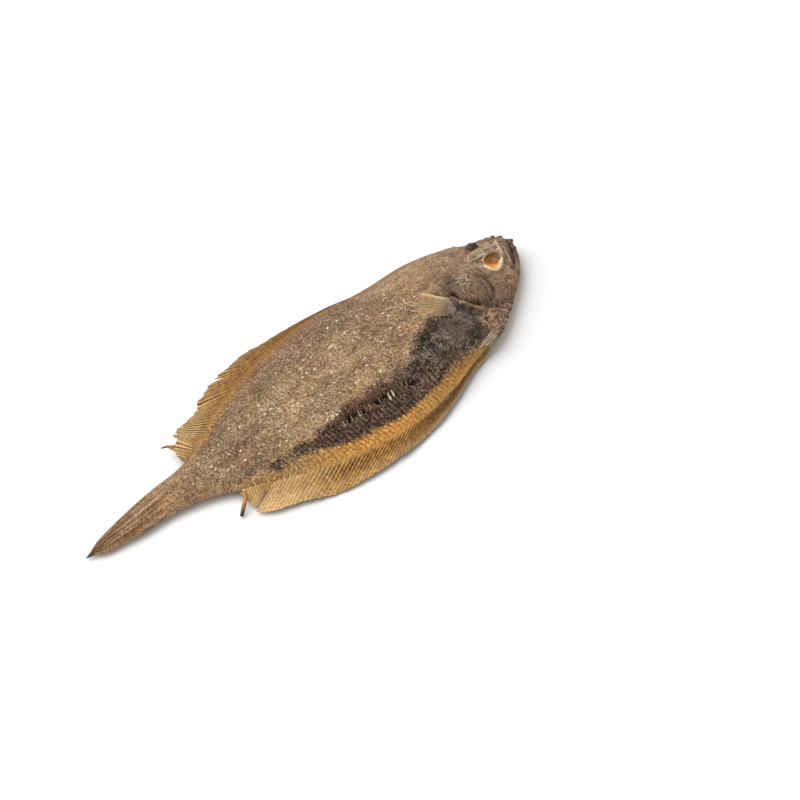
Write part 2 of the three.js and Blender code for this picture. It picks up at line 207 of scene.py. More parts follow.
# Small fins that lie on the body, each between two edges in plan, from base to tip.
BREAST_FIN = {
    "upper": [(55.6, -14.6), (56.9, -9.8), (55.8, -6.4), (54.2, -1.6), (52, 3.8)],
    "lower": [(53.7, -14.9), (50.4, -12.6), (47.2, -10.4), (44, -7.4), (40.6, -3.8)],
    "rays": 10, "fray": 0.3, "proud": 0.5, "sink": 1.5, "lobe": 0.5, "thick": 0.3, "relief": 0.14,
    "crumple": 0.15, "seed": 71,
}
THROAT_FIN = {
    "upper": [(63, -27.6), (59.6, -28.2), (56.2, -28.9), (53, -29.4), (49.6, -30)],
    "lower": [(63, -29.2), (59.8, -30.2), (56.4, -31.2), (53.2, -31.6), (49.8, -31.5)],
    "rays": 5, "fray": 0.3, "proud": 1.1, "sink": 0, "lobe": 0.2, "thick": 0.7, "relief": 0.6,
    "crumple": 0.4, "seed": 74,
}
FAN_STEPS, FAN_STEPS_A_RAY = 36, 6

# The rim of the eye: its least thickness in mm, and where it is thicker, as direction, half width in
# radians and extra thickness. EYE_SHINE is the direction of the bowl's painted lit side; painted shade is
# opposite.
RIM_THICK = 0.2
RIM_SWELLS = [(-0.85, 0.6, 0.6), (-1.75, 0.45, 0.4), (-2.65, 0.4, 0.6), (2.4, 0.4, 0.15)]
RIM_STEPS, RIM_SIDES, BOWL_RINGS = 72, 10, 14
EYE_SHINE = -2.2
LID = {"steps": 40, "size": 1.12, "thick": 0.35, "uneven": 0.15, "proud": 0.1, "seed": 84}

# Dried lumps of skin round the mouth and along the jaw: plan point and half width in mm. Their other
# measures go with the width, and each is turned further than the one before it.
SNOUT_LUMPS = [(95, 9.4, 1), (97.4, 7.8, 1.2), (99.3, 6, 1.2), (100, 3.6, 1.1), (99.3, 0.6, 1.3),
               (97.6, -2.4, 1.2), (95, -5.2, 1), (75.2, -21.6, 1.3), (72.4, -23.4, 1.2), (68.8, -25.4, 0.9)]
LUMP_SHAPE, LUMP_TURN, LUMP_WRINKLE, LUMP_SEED = (1, 0.7, 0.5), 0.9, 0.35, 86
LUMP_ROWS, LUMP_SIDES = 16, 28

# Ends of ribs that stick out under the lip: section, length in mm and thickness.
RIBS = [(7.04, 1.5, 0.14), (7.1, 0.9, 0.12), (7.22, 1.6, 0.15), (7.36, 1.9, 0.24), (7.41, 0.9, 0.14),
        (7.58, 1.2, 0.14), (7.8, 0.9, 0.15), (7.99, 2.4, 0.38), (8.08, 2.1, 0.36), (8.31, 0.8, 0.16),
        (8.37, 0.9, 0.14)]
RIB_LEAN, RIB_SEED = (0.3, 0.22), 98
RIB_STEPS, RIB_SIDES = 5, 7

# Loose ends of rays: a bent spine behind the belly fin and a curled tip on the back fin. Points in mm.
SPINES = {
    "dab_bent_spine": {
        "path": [(-48.4, -12.6, 3.3), (-49.9, -15, 3.1), (-52.6, -17, 2.3), (-55.3, -18.5, 1)],
        "thick": (0.45, 0.7, 0.8, 0.62)},
    "dab_curled_tip": {
        "path": [(-48.6, 23.4, 4.3), (-50.2, 24.7, 4.7), (-51.4, 25, 5.1), (-52.4, 25.3, 5.2)],
        "thick": (0.35, 0.42, 0.36, 0.2)},
}
SPINE_STEPS, ROD_SIDES = 6, 8

# Loose pale scales on the flank and in a torn clump behind the lip, and torn bits of skin that hang from the
# lip: how many, half their length in mm, how slim they are, and where they lie. Pairs of t, v, off and turn
# are a middle and a spread.
SCALE_CORNERS = 7
FLAKES = {"count": 240, "size": (0.35, 1), "slim": (0.35, 0.65), "span": (2.9, 10.4), "v": (0.05, 0.5),
          "turn": (0.1, 0.6), "seed": 91}
CLUMP = {"count": 26, "size": (0.25, 0.7), "slim": (0.3, 0.7), "t": (6.95, 0.1), "v": (-0.47, 0.03)}
SHREDS = {"count": 90, "size": (0.3, 0.9), "slim": (0.3, 0.7), "span": (6.95, 8.6), "off": (0.008, 0.014),
          "turn": (-1.7, 0.5), "seed": 95}

# Colours of the fish, linear.
SAND, SAND_DARK = (0.52, 0.338, 0.195), (0.165, 0.093, 0.048)
OLIVE, OLIVE_DARK = (0.475, 0.31, 0.158), (0.155, 0.09, 0.039)
ROSE, ROSE_DARK = (0.44, 0.26, 0.142), (0.145, 0.073, 0.038)
MUD, MUD_DARK = (0.4, 0.256, 0.164), (0.085, 0.05, 0.031)
ASH, PURPLE_BROWN = (0.128, 0.086, 0.062), (0.022, 0.0135, 0.0095)
SLATE, CHARCOAL = (0.15, 0.087, 0.051), (0.016, 0.009, 0.0055)
YELLOW, GOLD, OCHRE = (0.5, 0.275, 0.08), (0.34, 0.172, 0.046), (0.25, 0.108, 0.022)
BRIGHT_GOLD, PALE_GOLD = (0.66, 0.29, 0.046), (0.5, 0.33, 0.155)
STRAW, RAY_GOLD, RAY_BROWN = (0.62, 0.405, 0.185), (0.54, 0.276, 0.068), (0.27, 0.126, 0.035)
RAY_GAP = (0.055, 0.025, 0.01)
FIN_LIGHT, FIN_DARK, FIN_LOBE = (0.38, 0.255, 0.11), (0.17, 0.108, 0.05), (0.22, 0.155, 0.125)
FROST, FLECK, SPARKLE = (0.39, 0.298, 0.218), (0.7, 0.56, 0.41), (0.72, 0.47, 0.19)
BONE, PINK_BONE = (0.6, 0.46, 0.3), (0.58, 0.425, 0.31)
RUST, BROWN = (0.3, 0.145, 0.055), (0.16, 0.088, 0.042)
LIP_BROWN, SNOUT_BROWN = (0.075, 0.043, 0.036), (0.2, 0.12, 0.075)
# The middle amber of these is painted shade on the dark side of the eye's bowl.
AMBER, SHADED_AMBER, NEAR_BLACK = (0.9, 0.43, 0.078), (0.15, 0.06, 0.013), (0.014, 0.009, 0.007)
BLIND, BLIND_BROWN = (0.56, 0.4, 0.22), (0.3, 0.18, 0.085)
FLOOR_WHITE = (0.8, 0.8, 0.8)
# Width in mm of the small scales that give the skin its grain.
SPECK_SIZE = 0.52

# The room, in metres: half the floor's width and how far the camera sees, the sky's strength, and the
# lights' places, sizes and powers.
FLOOR_HALF, SIGHT, SKY_STRENGTH = 3, 20, 0.56
LIGHTS = {"key": ((-0.35, 0.55, 0.95), 1.8, 21.5), "fill": ((-0.5, -0.8, 0.9), 1, 2)}
# The camera: where it stands in the drawing, its direction, roll, lens and sensor, in mm and degrees.
CAMERA = {"place": (-338.3, -476.7, 511.8), "azimuth": -38, "elevation": 41.5, "roll": 11, "lens": 100,
          "sensor": 36}


def along(knots, t):
    """Value at t of evenly spaced knots, on a Catmull-Rom spline."""
    knots = np.asarray(knots, float)
    last = len(knots) - 1
    i = np.clip(np.floor(t).astype(int), 0, last - 1)
    f = t - i
    a, b = knots[np.maximum(i - 1, 0)], knots[i]
    c, d = knots[i + 1], knots[np.minimum(i + 2, last)]
    slope_b, slope_c = (c - a) / 2, (d - b) / 2
    cubic = 2 * (b - c) + slope_b + slope_c
    square = 3 * (c - b) - 2 * slope_b - slope_c
    return ((cubic * f + square) * f + slope_b) * f + b


def smooth(x, low, high):
    """0 before low, 1 after high and a soft step between; low may be the larger of the two."""
    f = np.clip((x - low) / (high - low), 0, 1)
    return f * f * (3 - 2 * f)


def span(edges, x):
    return smooth(x, edges[0], edges[1]) * (1 - smooth(x, edges[2], edges[3]))


def mix(a, b, f):
    return a + (b - a) * f


def bell(distance, width):
    return np.exp(-(distance / width) ** 2)


def turns(count):
    """Directions all round, evenly spaced."""
    return np.linspace(0, FULL_TURN, count, endpoint=False)


def turned(a, b, turn):
    return a * math.cos(turn) - b * math.sin(turn), a * math.sin(turn) + b * math.cos(turn)


def turn_gap(turn, middle):
    """Angle from a direction to each of some others, from -pi to pi."""
    return np.angle(np.exp(1j * (turn - middle)))


def unit(vectors):
    return vectors / np.linalg.norm(vectors, axis=1, keepdims=True)


def noise(x, y, size, seed):
    """Smooth noise from -1 to 1 over points in mm, with lumps of about that size."""
    grid = np.random.default_rng(seed).uniform(-1, 1, (128, 128))
    i, j = np.floor(x / size).astype(int), np.floor(y / size).astype(int)
    f, g = x / size - i, y / size - j
    f, g = f * f * (3 - 2 * f), g * g * (3 - 2 * g)
    low = mix(grid[i % 128, j % 128], grid[(i + 1) % 128, j % 128], f)
    high = mix(grid[i % 128, (j + 1) % 128], grid[(i + 1) % 128, (j + 1) % 128], f)
    return mix(low, high, g)


def curve_points(points, steps=10):
    """Points of a smooth curve through a few given ones."""
    t = np.linspace(0, len(points) - 1, steps * (len(points) - 1) + 1)
    return np.stack([along(axis, t) for axis in zip(*points)], axis=-1)


def curve_distance(x, y, points):
    """Plan distance in mm from each point of the surface to a curve."""
    line = curve_points(points)
    best = np.full(x.shape, np.inf)
    for (ax, ay), (bx, by) in zip(line[:-1], line[1:]):
        length = (bx - ax) ** 2 + (by - ay) ** 2
        f = np.clip(((x - ax) * (bx - ax) + (y - ay) * (by - ay)) / length, 0, 1)
        best = np.minimum(best, np.hypot(x - ax - f * (bx - ax), y - ay - f * (by - ay)))
    return best


def read_curve(curve, t):
    return np.interp(t, *zip(*curve))


def oval(x, y, form):
    """Distance from an oval's middle, 1 on its rim."""
    a, b = turned(x - form["x"], y - form["y"], -form["turn"])
    return np.hypot(a / form["a"], b / form["b"])


def rim_reach(turn):
    """Distance from the middle of the eye socket to its rim, in each direction."""
    x, y = (curve_points(EYE["rim"])[:-1] - EYE["middle"]).T
    return np.interp(turn, np.arctan2(y, x), np.hypot(x, y), period=FULL_TURN)


def from_eye(x, y):
    """Distance from the middle of the eye socket, 1 on its rim."""
    dx, dy = x - EYE["middle"][0], y - EYE["middle"][1]
    return np.hypot(dx, dy) / rim_reach(np.arctan2(dy, dx))


def standing(fin, t):
    """How far a fin has grown at section t: none, 0, to all, 1."""
    run = FIN_EDGE_RUN
    return span((fin["start"], fin["start"] + run, fin["end"] - run, fin["end"]), t)


def ray_number(fin, t):
    """Which ray of a fin section t is at, with the middle of each ray at a whole number."""
    number = (t - fin["start"]) / (fin["end"] - fin["start"]) * fin["count"]
    number = number + CROWD * smooth(t, fin["start"], fin["start"] + CROWD_RUN)
    return number + 0.15 * noise(t * 10, t * 0, 3, 7)


def ray_profile(fin, t):
    """1 on the middle of a ray, 0 in the membrane between two."""
    return (0.5 + 0.5 * np.cos(FULL_TURN * ray_number(fin, t))) ** 1.3


def fin_reach(fin, t):
    """Plan vector from a fin's base to its ragged edge."""
    share = standing(fin, t)
    nearest = np.round(ray_number(fin, t)).astype(int)
    share = share * (1 - fin["fray"] * np.random.default_rng(3).uniform(0, 1, 200)[nearest % 200])
    share = share * (1 - fin["notch"] * (1 - ray_profile(fin, t)))
    for at, half, loss in fin["tears"]:
        share = share * (1 - loss * np.maximum(0, 1 - np.abs(t - at) / half))
    at, run_x, run_y = zip(*fin["rays"])
    margin = fin["outward"] * MARGIN * smooth(t, 0, 1)
    return share * np.interp(t, at, run_x), share * np.interp(t, at, run_y) + margin


def stretches(ends, steps):
    """Numbers that run through some ends, with that many even steps from each to the next."""
    parts = [np.linspace(a, b, n, endpoint=False) for a, b, n in zip(ends, ends[1:], steps)]
    return np.concatenate([*parts, ends[-1:]])


def column_sections():
    """Sections of the columns, which stand closer together towards the snout."""
    sections = stretches(COLUMN_ENDS, COLUMN_STEPS)
    start, end = COLUMN_ENDS[-2:]
    left = np.clip((end - sections) / (end - start), 0, 1)
    return np.where(sections > start, mix(start, end, 1 - left ** HEAD_EASE), sections)


class Skin:
    """The fish as a grid of points: fields over columns (tail to snout) and rows (belly to back)."""

    def __init__(self):
        t, across = np.meshgrid(column_sections(), stretches(ROW_ENDS, ROW_STEPS), indexing="ij")
        self.t, self.across = t, across
        self.v = np.clip(across, -1, 1)
        self.out = np.clip(np.abs(across) - 1, 0, 1)
        self.on_back = across > 0
        k = {field: along(knots, t) for field, knots in KNOTS.items()}
        s = (1 + self.v * (1 - TIP_PINCH * bell(t - PINCH_AT, PINCH_WIDTH))) / 2
        dx, dy = self.of_fin(fin_reach)
        self.x = mix(k["belly_x"], k["back_x"], s) + dx * self.out
        self.y = mix(k["belly_y"], k["back_y"], s) + dy * self.out
        self.stands = self.of_fin(standing)
        self.ray = self.of_fin(ray_profile)
        self.edge = mix(k["belly_rise"], k["back_rise"], s)
        self.half = FIN_THICK / 2 * (1 - smooth(t, SNOUT - 0.5, SNOUT)) * smooth(t, 0, 0.5)
        self.crown, self.under = k["crown"], np.maximum(k["under"], 0)
        self.lip = read_curve(LIP, t) + 0.02 * noise(self.x, t * 0, 3, 11)
        self.lip += 0.014 * noise(self.x, t * 0, 1.1, 12)
        self.open = smooth(t, 0, 0.4) * (1 - smooth(t, SNOUT - 0.25, SNOUT))

    def of_fin(self, measure):
        """A measure of the back fin over the back half and of the belly fin over the other."""
        return np.where(self.on_back, measure(BACK_FIN, self.t), measure(BELLY_FIN, self.t))

    def within(self, name):
        return span(SPANS[name], self.t)

    def lumps(self, size, seed):
        return noise(self.x, self.y, size, seed)

    def near(self, curve, width):
        """1 on a curve, fading over that many mm."""
        return bell(curve_distance(self.x, self.y, curve), width)

    def lines(self, look):
        """One look of all the lines that have it."""
        with_it = [line for line in LINES.values() if look in line]
        return sum(line[look][0] * self.near(line["at"], line[look][1]) for line in with_it)

    def spots(self, places):
        return sum(amount * bell(np.hypot(self.x - x, self.y - y), size) for x, y, size, amount in places)

    def column(self, t):
        return np.argmin(np.abs(self.t[:, 0] - t))

    def place(self, t, v):
        """Plan point of the flesh at a section and a place across."""
        column, row = self.column(t), np.argmin(np.abs(self.across[0] - v))
        return self.x[column, row], self.y[column, row]

    def fin_middle(self):
        tip = self.of_fin(lambda fin, t: fin["tip_rise"])
        wave = FIN_WAVE * np.sin(FULL_TURN * WAVES_A_SECTION * self.t) + 0.35 * self.lumps(7, 5)
        return self.edge + (tip - self.edge + wave) * self.out * self.stands

    def fin_relief(self):
        height = self.of_fin(lambda fin, t: fin["relief"])
        return height * (self.ray - 0.3) * np.sin(np.pi * self.out ** 0.6) * self.stands

    def top(self):
        v = self.v
        hollow = smooth(v, *HOLLOW_OUTER) * (1 - smooth(v, self.lip - LIP_HALF, self.lip + LIP_HALF))
        profile = np.maximum(1 - np.abs(v) ** DOME_POWER - HOLLOW * hollow * self.within("hollow"), 0)
        edge = self.edge + self.half
        flesh = edge + np.maximum(self.crown - edge, 0) * profile
        flesh = flesh + self.relief() * self.open * (1 - 0.7 * np.abs(v) ** 6)
        fin = self.fin_middle() + self.half * (1 - self.out) ** 0.7 + self.fin_relief()
        return np.maximum(np.where(self.out > 0, fin, flesh), LEAST_TOP)

    def bottom(self):
        v = self.v
        lift = np.maximum(v * v - UNDER_FLAT ** 2, 0) / (1 - UNDER_FLAT ** 2)
        flesh = mix(self.under, self.edge - self.half, lift)
        lumps = 0.25 + 0.25 * self.lumps(6, 21)
        flesh = flesh + lumps * self.open * (1 - v ** 8) * smooth(lift, 0, 0.1)
        fin = self.fin_middle() - self.half * (1 - self.out) ** 0.7 - self.fin_relief()
        return np.maximum(np.where(self.out > 0, fin, flesh), 0)

    def relief(self):
        """Height in mm that the top of the flesh stands over its plain form."""
        flank = 0.3 * self.lumps(13, 1) + 0.16 * self.lumps(5, 2) + 0.1 * self.lumps(2.2, 3)
        backbone = 0.4 * bell(self.v - 0.06, 0.05) * self.within("backbone")
        tail = 0.2 * np.cos(FULL_TURN * self.tail_rays()) * self.within("tail ridges")
        return flank + backbone + tail + self.belly_relief() + self.head_relief()

    def belly_relief(self):
        """Ribs in the hollow of the belly, a curled lip over it, pits under the lip and crumpled skin."""
        below = 1 - smooth(self.v, self.lip - 0.02, self.lip + 0.04)
        ribs = 0.2 * (self.ray - 0.5) * below
        curl = 0.3 * bell(self.v - self.lip - 0.02, 0.04)
        crumples = (1.2 * self.lumps(6.5, 35) + 0.7 * self.lumps(2.6, 36)) * self.front_patch()
        relief = (ribs + curl) * self.within("hollow") - 1.1 * self.crack()
        return relief + crumples - 1.2 * self.patch_folds()

    def head_relief(self):
        x, y = self.x, self.y
        eye, cheek, cover = from_eye(x, y), oval(x, y, CHEEK), oval(x, y, GILL_COVER)
        front = smooth((x - CHEEK["x"]) + 0.3 * (CHEEK["y"] - y), -2, 2)
        relief = self.lines("relief") + CHEEK["rise"] * np.maximum(0, 1 - cheek ** 2)
        relief += CHEEK["step"] * smooth(cheek, mix(1.35, 1.04, front), mix(0.55, 0.9, front))
        relief += GILL_COVER["rise"] * smooth(cover, 1.05, 0.96) * smooth(x, 80, 68) * smooth(y, 2, -8)
        relief -= self.throat() * (0.8 + 0.5 * noise(x, y * 0.6, 1.7, 53) + 0.4 * self.lumps(3.6, 54))
        relief += 0.5 * bell(eye - 1.14, 0.16)
        wrinkles = 0.4 * noise(x * 1.3, y, 1.5, 51) + 0.5 * self.lumps(3.2, 52)
        wrinkles += 0.7 * self.lumps(2.1, 55) * smooth(x, 88, 94)
        relief += wrinkles * smooth(self.t, 11, 13) * smooth(cheek, 0.8, 1.1)
        socket = 0.3 - (EYE["deep"] + 0.3) * (1 - smooth(eye, 0.66, 1))
        return np.where(eye > 1, relief, socket)

    def crack(self):
        """Mask of the broken gap right under the lip, sunk in the relief and darkened with painted shade."""
        broken = smooth(self.lumps(2.6, 31) + 0.5 * self.lumps(1.3, 32), -0.5, -0.1)
        return broken * bell(self.v - self.lip + 0.045, 0.02) * self.within("crack")

    def front_patch(self):
        """Mask of the dark crumpled skin between the belly and the throat."""
        low, high = read_curve(STAIN_LOW, self.t), read_curve(STAIN_HIGH, self.t)
        edge = mix(0.06, 0.13, smooth(self.t, 8.6, 9.6))
        inside = smooth(self.drift(), low - edge, low + edge) * smooth(self.wavy(), high + 0.1, high - 0.08)
        return inside * self.within("patch") * (self.out == 0)

    def patch_folds(self):
        """Mask of the valleys in the dark crumpled skin."""
        return sum(self.near(fold, 1.6) for fold in PATCH_FOLDS) * self.front_patch()

    def throat(self):
        return smooth(self.y, THROAT_TOP + 0.6, THROAT_TOP - 0.8) * span(THROAT_SPAN, self.x)

    def drift(self):
        """Place across the flesh, shaken a little."""
        return self.v + 0.02 * self.lumps(7, 66) + 0.01 * self.lumps(2, 67)

    def wavy(self):
        """Place across the flesh, shaken so that the edges of stains wander."""
        return self.v + 0.05 * self.lumps(5, 61) + 0.025 * self.lumps(2, 62)

    def tail_rays(self):
        """Number of the tail ray at each point, with the middle of each ray at a whole number."""
        s = (self.v + 1) / 2 + 0.03 * self.lumps(11, 41)
        return 9 * s + 0.5 * noise(s * 30, s * 0, 3, 42)

    def zones(self):
        """Fields that the material reads, most of them masks from 0 to 1."""
        return {**self.stains(), **self.marks(), **self.tones(), **self.fin_zones(), **self.end_zones()}

    def stains(self):
        """The dark band in the belly's hollow, the dark patch before it and the gold strip below them."""
        t, drift, wavy = self.t, self.drift(), self.wavy()
        low, high = read_curve(STAIN_LOW, t), read_curve(STAIN_HIGH, t)
        body, lipped = self.out == 0, self.within("lip")
        inside = smooth(drift, low - 0.05, low + 0.06) * body
        roof = mix(high, self.lip, np.maximum(lipped, smooth(t, 8.6, 9)))
        band = inside * smooth(mix(wavy, self.v, lipped), roof + 0.05, roof - 0.04) * self.within("band")
        faint = mix(0.55 + 0.5 * self.lumps(3.5, 65), 1, smooth(t, 5.8, 6.5))
        halo = 0.78 * smooth(wavy, high + 0.06, high - 0.07) * lipped
        gold = smooth(drift, low + 0.08, low - 0.05) * self.within("gold") * (self.across < 0)
        patch = np.maximum(inside * halo, self.front_patch())
        return {"band": band * faint, "patch": patch, "gold": gold * body}

    def marks(self):
        """Painted shade in creases, gaps and valleys, dark spots, bony edges, rusty places and the pale skin
        of the brow.
        """
        t, v, skin = self.t, self.v, from_eye(self.x, self.y) > 1
        broken = 0.6 + 0.4 * self.lumps(3, 63)
        scorched = bell(v - self.lip - 0.03, 0.085) * self.within("scorched")
        # gloom: painted shade in the creases, the gap under the lip, the patch's valleys and the gill slit,
        # with a dark strip over the lip and dark spots on the snout and the patch.
        gloom = broken * self.lines("broken") + self.lines("dark") + 1.2 * self.crack()
        gloom += 0.3 * self.patch_folds()
        gloom += (0.4 + 0.3 * self.lumps(1.5, 68)) * self.near(GILL_SHADOWS, 2.4) + 0.3 * scorched
        gloom += 0.6 * bell(oval(self.x, self.y, SNOUT_SPOT), 1) + self.spots(PATCH_DARK)
        bony = self.lines("bone") + broken ** 2 * self.lines("chips")
        rust = self.lines("rust") + 0.8 * smooth(v, 0.84, 1) * smooth(t, 8.2, 9.2) + 1.4 * broken * scorched
        rust += 0.8 * bell(v - 0.82, 0.16) * self.within("rusty tail")
        rust += 0.3 * broken * bell(v - self.lip + 0.01, 0.07) * self.within("rusty lip")
        return {"gloom": np.clip(gloom, 0, 1) * skin, "bony": bony * skin, "rust": rust * skin,
                "brow": self.near(BROW_SKIN, 2) * skin}

    def tones(self):
        """How light the skin is, with painted shadow round the gill spots, where it is muddy, where it is
        dusted, and the painted highlight on the cheek's top.
        """
        t, v, cheek = self.t, self.v, oval(self.x, self.y, CHEEK)
        shade = 0.4 * smooth(cheek, 1.15, 0.8) + 0.75 * smooth(t, 10.5, 11.2) * smooth(v, 0.3, -0.1)
        shade += 0.5 * smooth(t, 10.2, 11.6) + 0.3 * smooth(t, 11, 12.4) * smooth(v, 0, 0.5)
        shade -= 0.5 * smooth(t, 11.9, 12.8) * smooth(v, 0.2, -0.2)
        tone = 0.97 - 0.3 * smooth(t, 6.8, 5.6) - 0.36 * smooth(v, 0, 0.7) * self.within("dark back")
        tone += 0.03 * self.within("pale tail") - 0.25 * smooth(cheek, 1.15, 0.85)
        # Round the gill spots the tone is lowered as painted shadow.
        tone += 0.12 * smooth(t, 11.8, 12.4) - 0.3 * self.near(GILL_SHADOWS, 3.5) + self.spots(SMUDGES)
        dusty = 0.35 * smooth(self.lumps(4, 64), 0, 0.7) + self.spots(PATCH_DUST)
        # Pale specks: a painted highlight on the cheek's lit top, and dust on the dark patch.
        dust_and_highlight = self.spots(CHEEK_HIGHLIGHT) * smooth(cheek, 1.1, 0.7) + dusty * self.front_patch()
        return {"shade": np.clip(shade, 0, 1), "tone": tone, "dust_and_highlight": np.clip(dust_and_highlight, 0, 1)}

    def fin_zones(self):
        t, v, across = self.t, self.v, self.across
        # A yellow ridge between the gold strip and the belly fin, partly a painted highlight on its crest,
        # and a gold spot on the tail.
        ridge = bell(across + 1, 0.035) * self.within("ridge")
        ridge += 0.5 * bell(np.hypot((t - 2.95) / 0.35, (v + 0.4) / 0.4), 1)
        fin = np.where(self.on_back, smooth(across, 0.7, 1.12), smooth(self.out, 0, 0.1))
        ribbed = smooth(v, self.lip + 0.03, self.lip - 0.02) * self.within("ribs")
        return {
            "ridge": ridge, "fin": fin * self.stands, "ribbed": ribbed, "ray_no": self.of_fin(ray_number),
            "reach": self.out, "back_fin": self.on_back,
            "pale_fin": smooth(t, 6.9, 5.6), "front_fin": smooth(t, 7.4, 9),
            "back_edge": smooth(self.wavy(), 0.6, 0.98) * self.within("back edge"),
        }

    def end_zones(self):
        """Zones of the head and of the tail."""
        t = self.t
        return {
            "lips": 0.45 * smooth(self.x + 0.4 * np.abs(self.y - 2), 90.5, 95) * smooth(t, 12.6, 13.4),
            "soft": 0.5 * smooth(t, 9.6, 11) + 0.5 * smooth(t, 11.4, 12.6), "throat": self.throat(),
            "tail": smooth(t, 4.2, 2.6), "tail_tip": smooth(t, 0.75, 0.3), "tail_no": self.tail_rays(),
        }


def to_frame(points):
    """Points of the drawing, in mm, as points of the frame, in metres."""
    return (np.asarray(points, float) - PLAN_MIDDLE) * MM


def placed(name, data):
    """A new object in the scene."""
    made = bpy.data.objects.new(name, data)
    bpy.context.scene.collection.objects.link(made)
    return made


def new_piece(name, points, faces, material, slot, **fields):
    """A mesh piece that rides with the fish. Points are in mm; the material reads the fields."""
    mesh = bpy.data.meshes.new(name)
    mesh.from_pydata(to_frame(points).tolist(), [], faces)
    mesh.validate()
    mesh.update()
    mesh.shade_smooth()
    mesh.set_sharp_from_angle(angle=math.radians(SHARP_ANGLE))
    mesh.materials.append(material)
    for field, values in fields.items():
        data = mesh.attributes.new(field, "FLOAT", "POINT").data
        data.foreach_set("value", np.asarray(values, np.float32).ravel())
    piece = placed(name, mesh)
    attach(piece, "root")
    return piece


def grid_faces(grid):
    """Quads of a grid of point numbers."""
    corners = [grid[:-1, :-1], grid[1:, :-1], grid[1:, 1:], grid[:-1, 1:]]
    return np.stack(corners, axis=-1).reshape(-1, 4)


def ringed(grid):
    """A grid of point numbers with its first column again after its last."""
    return np.concatenate([grid, grid[:, :1]], axis=1)


def skin_faces(columns, rows):
    """Faces of the top, faces of the bottom, which shares its edges, and the bottom's point numbers."""
    top = np.arange(columns * rows).reshape(columns, rows)
    bottom = top[:, ::UNDER_STEP].copy()
    inner = bottom[1:-1, 1:-1]
    inner[:] = columns * rows + np.arange(inner.size).reshape(inner.shape)
    under = []
    for i in range(columns - 1):
        for n in range(bottom.shape[1] - 1):
            near, far = bottom[i, n:n + 2], bottom[i + 1, n:n + 2]
            shared = slice(n * UNDER_STEP, (n + 1) * UNDER_STEP + 1)
            if i == 0:
                near = top[0, shared]
            if i == columns - 2:
                far = top[-1, shared]
            under.append([*near.tolist(), *far[::-1].tolist()])
    return grid_faces(top).tolist(), under, bottom


def read_all(items, key, kind, width=1):
    """One value of all the items of a mesh."""
    values = np.zeros(len(items) * width, kind)
    items.foreach_get(key, values)
    return values


def plan_map(mesh, top_faces):
    """A texture map that sees the top and the underside from above, one over the other."""
    points = read_all(mesh.vertices, "co", float, 3).reshape(-1, 3)
    corners = read_all(mesh.polygons, "loop_total", int)
    below = np.repeat(np.arange(len(corners)) >= top_faces, corners)
    place = points[read_all(mesh.loops, "vertex_index", int), :2] / MAP_WIDTH
    uv = np.stack([place[:, 0] + 0.5, place[:, 1] + np.where(below, 0.75, 0.25)], axis=-1)
    mesh.uv_layers.new(name="OFBake").data.foreach_set("uv", uv.ravel())


def build_fish(material):
    """The whole skin as one closed mesh. Gives the grid and a tree to set other pieces on."""
    skin = Skin()
    columns, rows = skin.t.shape
    top, low = (np.stack([skin.x, skin.y, z], axis=-1) for z in (skin.top(), skin.bottom()))
    ends = [0, -1]
    top[:, ends, 2] = skin.fin_middle()[:, ends]
    top[ends, :, 2] = skin.edge[ends]
    over, under, bottom = skin_faces(columns, rows)
    inner = bottom >= columns * rows
    points = np.concatenate([top.reshape(-1, 3), low[:, ::UNDER_STEP][inner]])
    fields = {}
    for name, values in skin.zones().items():
        fields[name] = np.concatenate([values.ravel(), values[:, ::UNDER_STEP][inner]])
    fields["under"] = np.arange(len(points)) >= columns * rows
    piece = new_piece("dab_body", points, over + under, material, "skin", **fields)
    plan_map(piece.data, len(over))
    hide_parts("dried_dab")
    return skin, BVHTree.FromPolygons(top.reshape(-1, 3).tolist(), over)


def height(ground, x, y):
    """Height of the fish's top over a plan point, in mm."""
    hit = ground.ray_cast(Vector((x, y, HIGH_ABOVE)), Vector((0, 0, -1)))[0]
    if hit is None:
        hit = ground.find_nearest(Vector((x, y, NEAR_EDGE)))[0]
    return hit.z


def laid(ground, points, proud):
    """Plan points set on the fish's top, with their middles that far over it."""
    return np.array([(x, y, height(ground, x, y) + proud) for x, y in points])


def tube(path, radii, sides=ROD_SIDES, closed=False):
    """A rod along a path, as points and faces. Radii are given at every point of the path."""
    path = np.asarray(path, float)
    ahead = np.roll(path, -1, axis=0) - np.roll(path, 1, axis=0)
    if not closed:
        ahead[0], ahead[-1] = path[1] - path[0], path[-1] - path[-2]
    ahead = unit(ahead)
    side = unit(np.cross(ahead, (0, 0, 1)))
    turn = turns(sides)[:, None]
    ring = side[:, None] * np.cos(turn) + np.cross(side, ahead)[:, None] * np.sin(turn)
    points = path[:, None] + ring * np.asarray(radii, float)[:, None, None]
    grid = np.arange(len(path) * sides).reshape(-1, sides)
    if closed:
        faces = grid_faces(ringed(np.concatenate([grid, grid[:1]]))).tolist()
    else:
        faces = [*grid_faces(ringed(grid)).tolist(), grid[0].tolist(), grid[-1, ::-1].tolist()]
    return points.reshape(-1, 3), faces


def join(shapes):
    """Several shapes as one list of points and one of faces."""
    points, faces, first = [], [], 0
    for shape_points, shape_faces in shapes:
        points.append(shape_points)
        faces += [tuple(first + a for a in face) for face in shape_faces]
        first += len(shape_points)
    return np.concatenate(points), faces


def sheet_faces(shape):
    """Faces of a grid of points of that shape over another one, with walls between their rims."""
    grid = np.arange(math.prod(shape)).reshape(shape)
    rim = np.concatenate([grid[:-1, 0], grid[-1, :-1], grid[:0:-1, -1], grid[0, :0:-1]])
    after = np.roll(rim, -1)
    walls = np.stack([rim + grid.size, after + grid.size, after, rim], axis=-1)
    top = np.roll(grid_faces(grid), -1, axis=1)
    return np.concatenate([top, top[:, ::-1] + grid.size, walls]).tolist()


